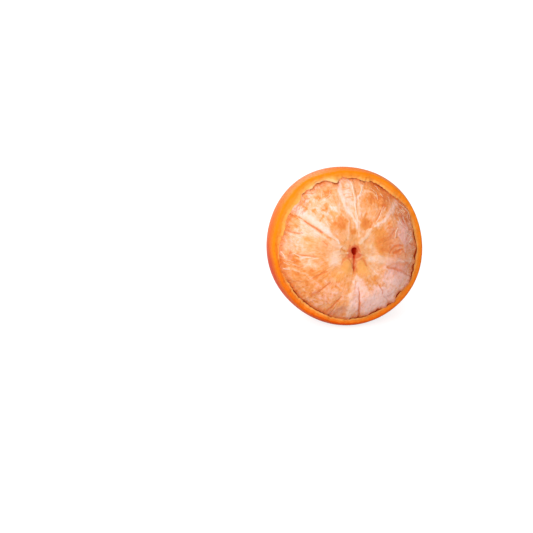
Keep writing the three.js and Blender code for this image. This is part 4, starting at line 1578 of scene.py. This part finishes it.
def make_threads():
    rng = np.random.default_rng(THREAD_SEED)
    drawn = [(radius, line, 0.0) for radius, line in THREADS]
    for crowd in THREAD_CROWDS:
        drawn += [(rng.uniform(*THIN_RADII), line, rng.uniform()) for line in crowd_lines(crowd, rng)]
    points, edges, thickness, tan = [], [], [], []
    for radius, line, colour in drawn:
        places = np.array(line)
        start = len(points)
        thick = THREAD_LEAST + (1 - THREAD_LEAST) * np.sin(np.linspace(*THREAD_ENDS, len(line)) * math.pi)
        points += on_flesh(places[:, 0], places[:, 1], THREAD_LIFT * radius).tolist()
        edges += [(start + step, start + step + 1) for step in range(len(line) - 1)]
        thickness += (MM * radius * thick).tolist()
        tan += [colour] * len(line)
    mesh = bpy.data.meshes.new("pith_threads")
    mesh.from_pydata(points, edges, [])
    for name, values in {"thickness": thickness, "tan": tan}.items():
        mesh.attributes.new(name, "FLOAT", "POINT").data.foreach_set("value", values)
    return mesh


# %% A tree that sweeps each line into a thread
SWEEP_STEP = 0.3
SWEEP_SIDES = 6


def thread_tree():
    tree, given, out = new_tree(
        "pith_threads",
        "GeometryNodeTree",
        {
            "Geometry": ("NodeSocketGeometry", None),
            "Step": ("NodeSocketFloat", SWEEP_STEP * MM),
            "Sides": ("NodeSocketInt", SWEEP_SIDES),
            "Material": ("NodeSocketMaterial", None),
        },
        {"Geometry": "NodeSocketGeometry"},
    )
    get = given.outputs
    curve = add_node(tree, "GeometryNodeMeshToCurve", {"Mesh": get["Geometry"]})
    line = {"Curve": curve.outputs[0]}
    rounded = add_node(tree, "GeometryNodeCurveSplineType", line, spline_type="CATMULL_ROM")
    even = {"Curve": rounded.outputs[0], "Length": get["Step"]}
    resampled = add_node(tree, "GeometryNodeResampleCurve", even, mode="LENGTH")
    thick = add_node(tree, "GeometryNodeInputNamedAttribute", {"Name": "thickness"}, data_type="FLOAT")
    profile = add_node(tree, "GeometryNodeCurvePrimitiveCircle", {"Resolution": get["Sides"], "Radius": 1.0})
    sweep = {
        "Curve": resampled.outputs[0],
        "Profile Curve": profile.outputs[0],
        "Scale": thick.outputs[0],
        "Fill Caps": True,
    }
    tubes = add_node(tree, "GeometryNodeCurveToMesh", sweep)
    soft = add_node(tree, "GeometryNodeSetShadeSmooth", {"Geometry": tubes.outputs[0]})
    give_dressed(tree, soft.outputs[0], get["Material"], out)
    return tree


# %% Dry cream and tan finish for the threads
THREAD_CREAM = (0.82, 0.60, 0.42, 1)
THREAD_PALE = (0.83, 0.68, 0.54, 1)
THREAD_TAN = (0.62, 0.24, 0.07, 1)
TAN_SHARES = (0.5, 0.8)


def dry_pith():
    material, tree, shader, where = new_material("dry_pith")
    pale = drift(tree, where, THREAD_CREAM, THREAD_PALE, size=1.5, speck=0.2, amount=1.0, specks=0.3)
    tan = remap(tree, attribute(tree, "tan"), *TAN_SHARES)
    look = {
        "Base Color": mix_colours(tree, tan, pale.outputs["Colour"], THREAD_TAN),
        "Roughness": 0.6,
        "Specular IOR Level": 0.3,
        "Normal": bump(tree, pale.outputs["Height"], 0.4, 0.05 * MM),
    }
    set_inputs(tree, shader, look)
    return material


thread_piece = finish_with_nodes("pith_threads", make_threads(), thread_tree(), dry_pith())
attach(thread_piece, "root")
print("threads:", len(thread_piece.data.polygons), "faces")

# %% [markdown]
# ## The calyx
#
# The calyx is the small dry star that held the fruit to its stalk. It sits in the dimple at the stem
# end, with the cut stub of the stalk in its middle. Five lobes come from one cosine, and rings of points
# from the underside to the stub give it its thickness.

# %% A five-lobed star with a stub
CALYX_RADIUS = 2.9
CALYX_LOBES = 5
CALYX_NOTCH = 0.3
CALYX_THICKNESS = 0.8
STALK_RADIUS = 1.3
STALK_HEIGHT = 1.5
STALK_HOLLOW = 0.88  # how high the middle of the cut stub is, as a share of its height
CALYX_COLUMNS = 120
CALYX_GAP = 0.3
CALYX_LUMPS = (0.03, 0.7)  # depth and length

# Rings from the underside to the stub: radius, height above the underside, and how lobed they are.
CALYX_RINGS = [
    (0.90 * CALYX_RADIUS, 0.0, 1.0),
    (0.97 * CALYX_RADIUS, 0.2 * CALYX_THICKNESS, 1.0),
    (0.99 * CALYX_RADIUS, 0.4 * CALYX_THICKNESS, 1.0),
    (0.97 * CALYX_RADIUS, 0.6 * CALYX_THICKNESS, 1.0),
    (0.91 * CALYX_RADIUS, 0.75 * CALYX_THICKNESS, 1.0),
    (0.75 * CALYX_RADIUS, 0.78 * CALYX_THICKNESS, 0.8),
    (1.45 * STALK_RADIUS, 0.85 * CALYX_THICKNESS, 0.5),
    (1.15 * STALK_RADIUS, 1.1 * CALYX_THICKNESS, 0.2),
    (0.98 * STALK_RADIUS, 0.85 * STALK_HEIGHT, 0.0),
    (0.90 * STALK_RADIUS, 0.96 * STALK_HEIGHT, 0.0),
    (0.78 * STALK_RADIUS, 0.98 * STALK_HEIGHT, 0.0),
    (0.45 * STALK_RADIUS, 0.90 * STALK_HEIGHT, 0.0),
]


def make_calyx():
    turn = np.radians(np.arange(CALYX_COLUMNS) * 360 / CALYX_COLUMNS)
    foot = float(rind_point(-math.pi / 2, 0.0, -SKIN_INSET)[2]) - CALYX_GAP
    depth, length = CALYX_LUMPS
    uneven = depth * np.abs(lumps(2 * np.cos(turn), 2 * np.sin(turn), length, seed=41))
    notch = CALYX_NOTCH * (0.5 - 0.5 * np.cos(CALYX_LOBES * turn))
    rings = []
    for radius, height, lobed in CALYX_RINGS:
        reach = radius * (1 - lobed * (notch + uneven))
        rings.append(to_table(reach * np.sin(turn), reach * np.cos(turn), foot - height + 0 * turn))
    poles = [to_table(0.0, 0.0, foot - height) for height in (0.0, STALK_HOLLOW * STALK_HEIGHT)]
    heights = np.array([height for _, height, _ in CALYX_RINGS]) / STALK_HEIGHT
    values = {"stub": np.repeat(heights[:, None], CALYX_COLUMNS, axis=1)}
    return closed_skin("calyx_fine", poles[0], np.array(rings), poles[1], values)


# %% Dry green-brown finish
CALYX_GREEN = (0.16, 0.17, 0.045, 1)
CALYX_BROWN = (0.17, 0.09, 0.03, 1)
STUB_TAN = (0.42, 0.30, 0.13, 1)
CUT_HEIGHTS = (0.8, 0.95)  # where the tan of the cut stub starts and is in full


def dry_calyx():
    material, tree, shader, where = new_material("dry_calyx")
    dry = drift(tree, where, CALYX_GREEN, CALYX_BROWN, size=0.9, speck=0.15, amount=1.0, specks=0.6)
    stub = attribute(tree, "stub")
    look = {
        "Base Color": mix_colours(tree, remap(tree, stub, *CUT_HEIGHTS), dry.outputs["Colour"], STUB_TAN),
        "Roughness": remap(tree, stub, 0.0, 1.0, 0.65, 0.85),
        "Normal": bump(tree, dry.outputs["Height"], 0.6, 0.1 * MM),
    }
    set_inputs(tree, shader, look)
    return material


calyx_piece = place("calyx_fine", make_calyx())
calyx_piece.data.materials.append(dry_calyx())
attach(calyx_piece, "root")
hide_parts("calyx")
print("calyx:", len(calyx_piece.data.polygons), "faces")

# %% [markdown]
# ## Studio
#
# The fruit stands on a plain pale floor in bright, soft light, as on a light table. A large soft panel up
# to the left, in front, gives the gloss on the skin and a gentle fall of light to the lower right, and a
# second one stands behind. A white world fills the rest, so the shadow stays faint. To the fruit the
# floor is plain pale grey. To the camera it is a darker grey with a glow, which comes close to white.

# %% Floor
FLOOR_SIZE = 6.0
FLOOR_WHITE = (0.60, 0.60, 0.60, 1)
FLOOR_SECOND = (0.57, 0.57, 0.57, 1)
FLOOR_SEEN = (0.30, 0.30, 0.30, 1)
FLOOR_GLOW = 0.80


def make_floor():
    half = FLOOR_SIZE / 2
    mesh = bpy.data.meshes.new("studio_floor")
    corners = [(-half, -half, 0), (half, -half, 0), (half, half, 0), (-half, half, 0)]
    mesh.from_pydata(corners, [], [(0, 1, 2, 3)])
    material, tree, shader, where = new_material("studio_floor")
    pale = drift(tree, where, FLOOR_WHITE, FLOOR_SECOND, size=400.0, speck=40.0, amount=0.5, specks=0.01)
    seen = add_node(tree, "ShaderNodeLightPath").outputs["Is Camera Ray"]
    look = {
        "Base Color": mix_colours(tree, seen, pale.outputs["Colour"], FLOOR_SEEN),
        "Roughness": 0.9,
        "Specular IOR Level": 0.1,
        "Emission Color": (1, 1, 1, 1),
        "Emission Strength": times(tree, seen, FLOOR_GLOW),
    }
    set_inputs(tree, shader, look)
    mesh.materials.append(material)
    return place("studio_floor", mesh)


make_floor()

# %% Panels and world
# Name, place and side in metres, and power in watts.
PANELS = [("key_panel", (-0.42, -0.62, 0.60), 0.7, 7.4), ("back_panel", (-0.25, 0.75, 0.40), 0.7, 4.0)]
WORLD_LIGHT = 0.72

middle = Vector(MIDDLE) * MM


def aim_at(thing, target):
    thing.rotation_euler = (target - thing.location).to_track_quat("-Z", "Y").to_euler()


for name, place_at, side, power in PANELS:
    light = bpy.data.lights.new(name, "AREA")
    light.shape = "SQUARE"
    light.size = side
    light.energy = power
    lamp = place(name, light)
    lamp.location = place_at
    aim_at(lamp, middle)

world = bpy.data.worlds.new("white_studio")
world.use_nodes = True
world_tree = world.node_tree
seen = add_node(world_tree, "ShaderNodeLightPath").outputs["Is Camera Ray"]
strength = remap(world_tree, seen, 0.0, 1.0, WORLD_LIGHT, 1.0)
set_inputs(world_tree, world_tree.nodes["Background"], {"Color": (1, 1, 1, 1), "Strength": strength})
bpy.context.scene.world = world
bpy.context.scene.view_settings.view_transform = "Standard"
print("lit by", len(PANELS), "panels and a white world")

# %% [markdown]
# ## Camera
#
# The camera looks down a little, and from the left of the opened end. It stands far back with a long
# lens, so the fruit keeps its true proportions. The fruit is right of the middle of the frame and a
# little above it, so the aim is moved off the fruit and the lens isn't shifted.

# %% Place the camera
AZIMUTH = math.radians(-12.6)
ELEVATION = math.radians(25)
CAMERA_DISTANCE = 0.494
LENS = 85
SENSOR_WIDTH = 36
NEAREST_SEEN = 0.01
AIM_LEFT = 30.45 * MM
AIM_DOWN = 8.96 * MM

right = Vector((math.cos(AZIMUTH), math.sin(AZIMUTH), 0))
level_back = Vector((math.sin(AZIMUTH), -math.cos(AZIMUTH), 0))
back = math.cos(ELEVATION) * level_back + math.sin(ELEVATION) * Vector((0, 0, 1))
camera_data = bpy.data.cameras.new("camera")
camera_data.lens = LENS
camera_data.sensor_width = SENSOR_WIDTH
camera_data.clip_start = NEAREST_SEEN
camera = place("camera", camera_data)
camera.location = middle + CAMERA_DISTANCE * back
aim_at(camera, middle - AIM_LEFT * right - AIM_DOWN * back.cross(right))
bpy.context.scene.camera = camera
print("camera at", [round(v, 3) for v in camera.location], "m")
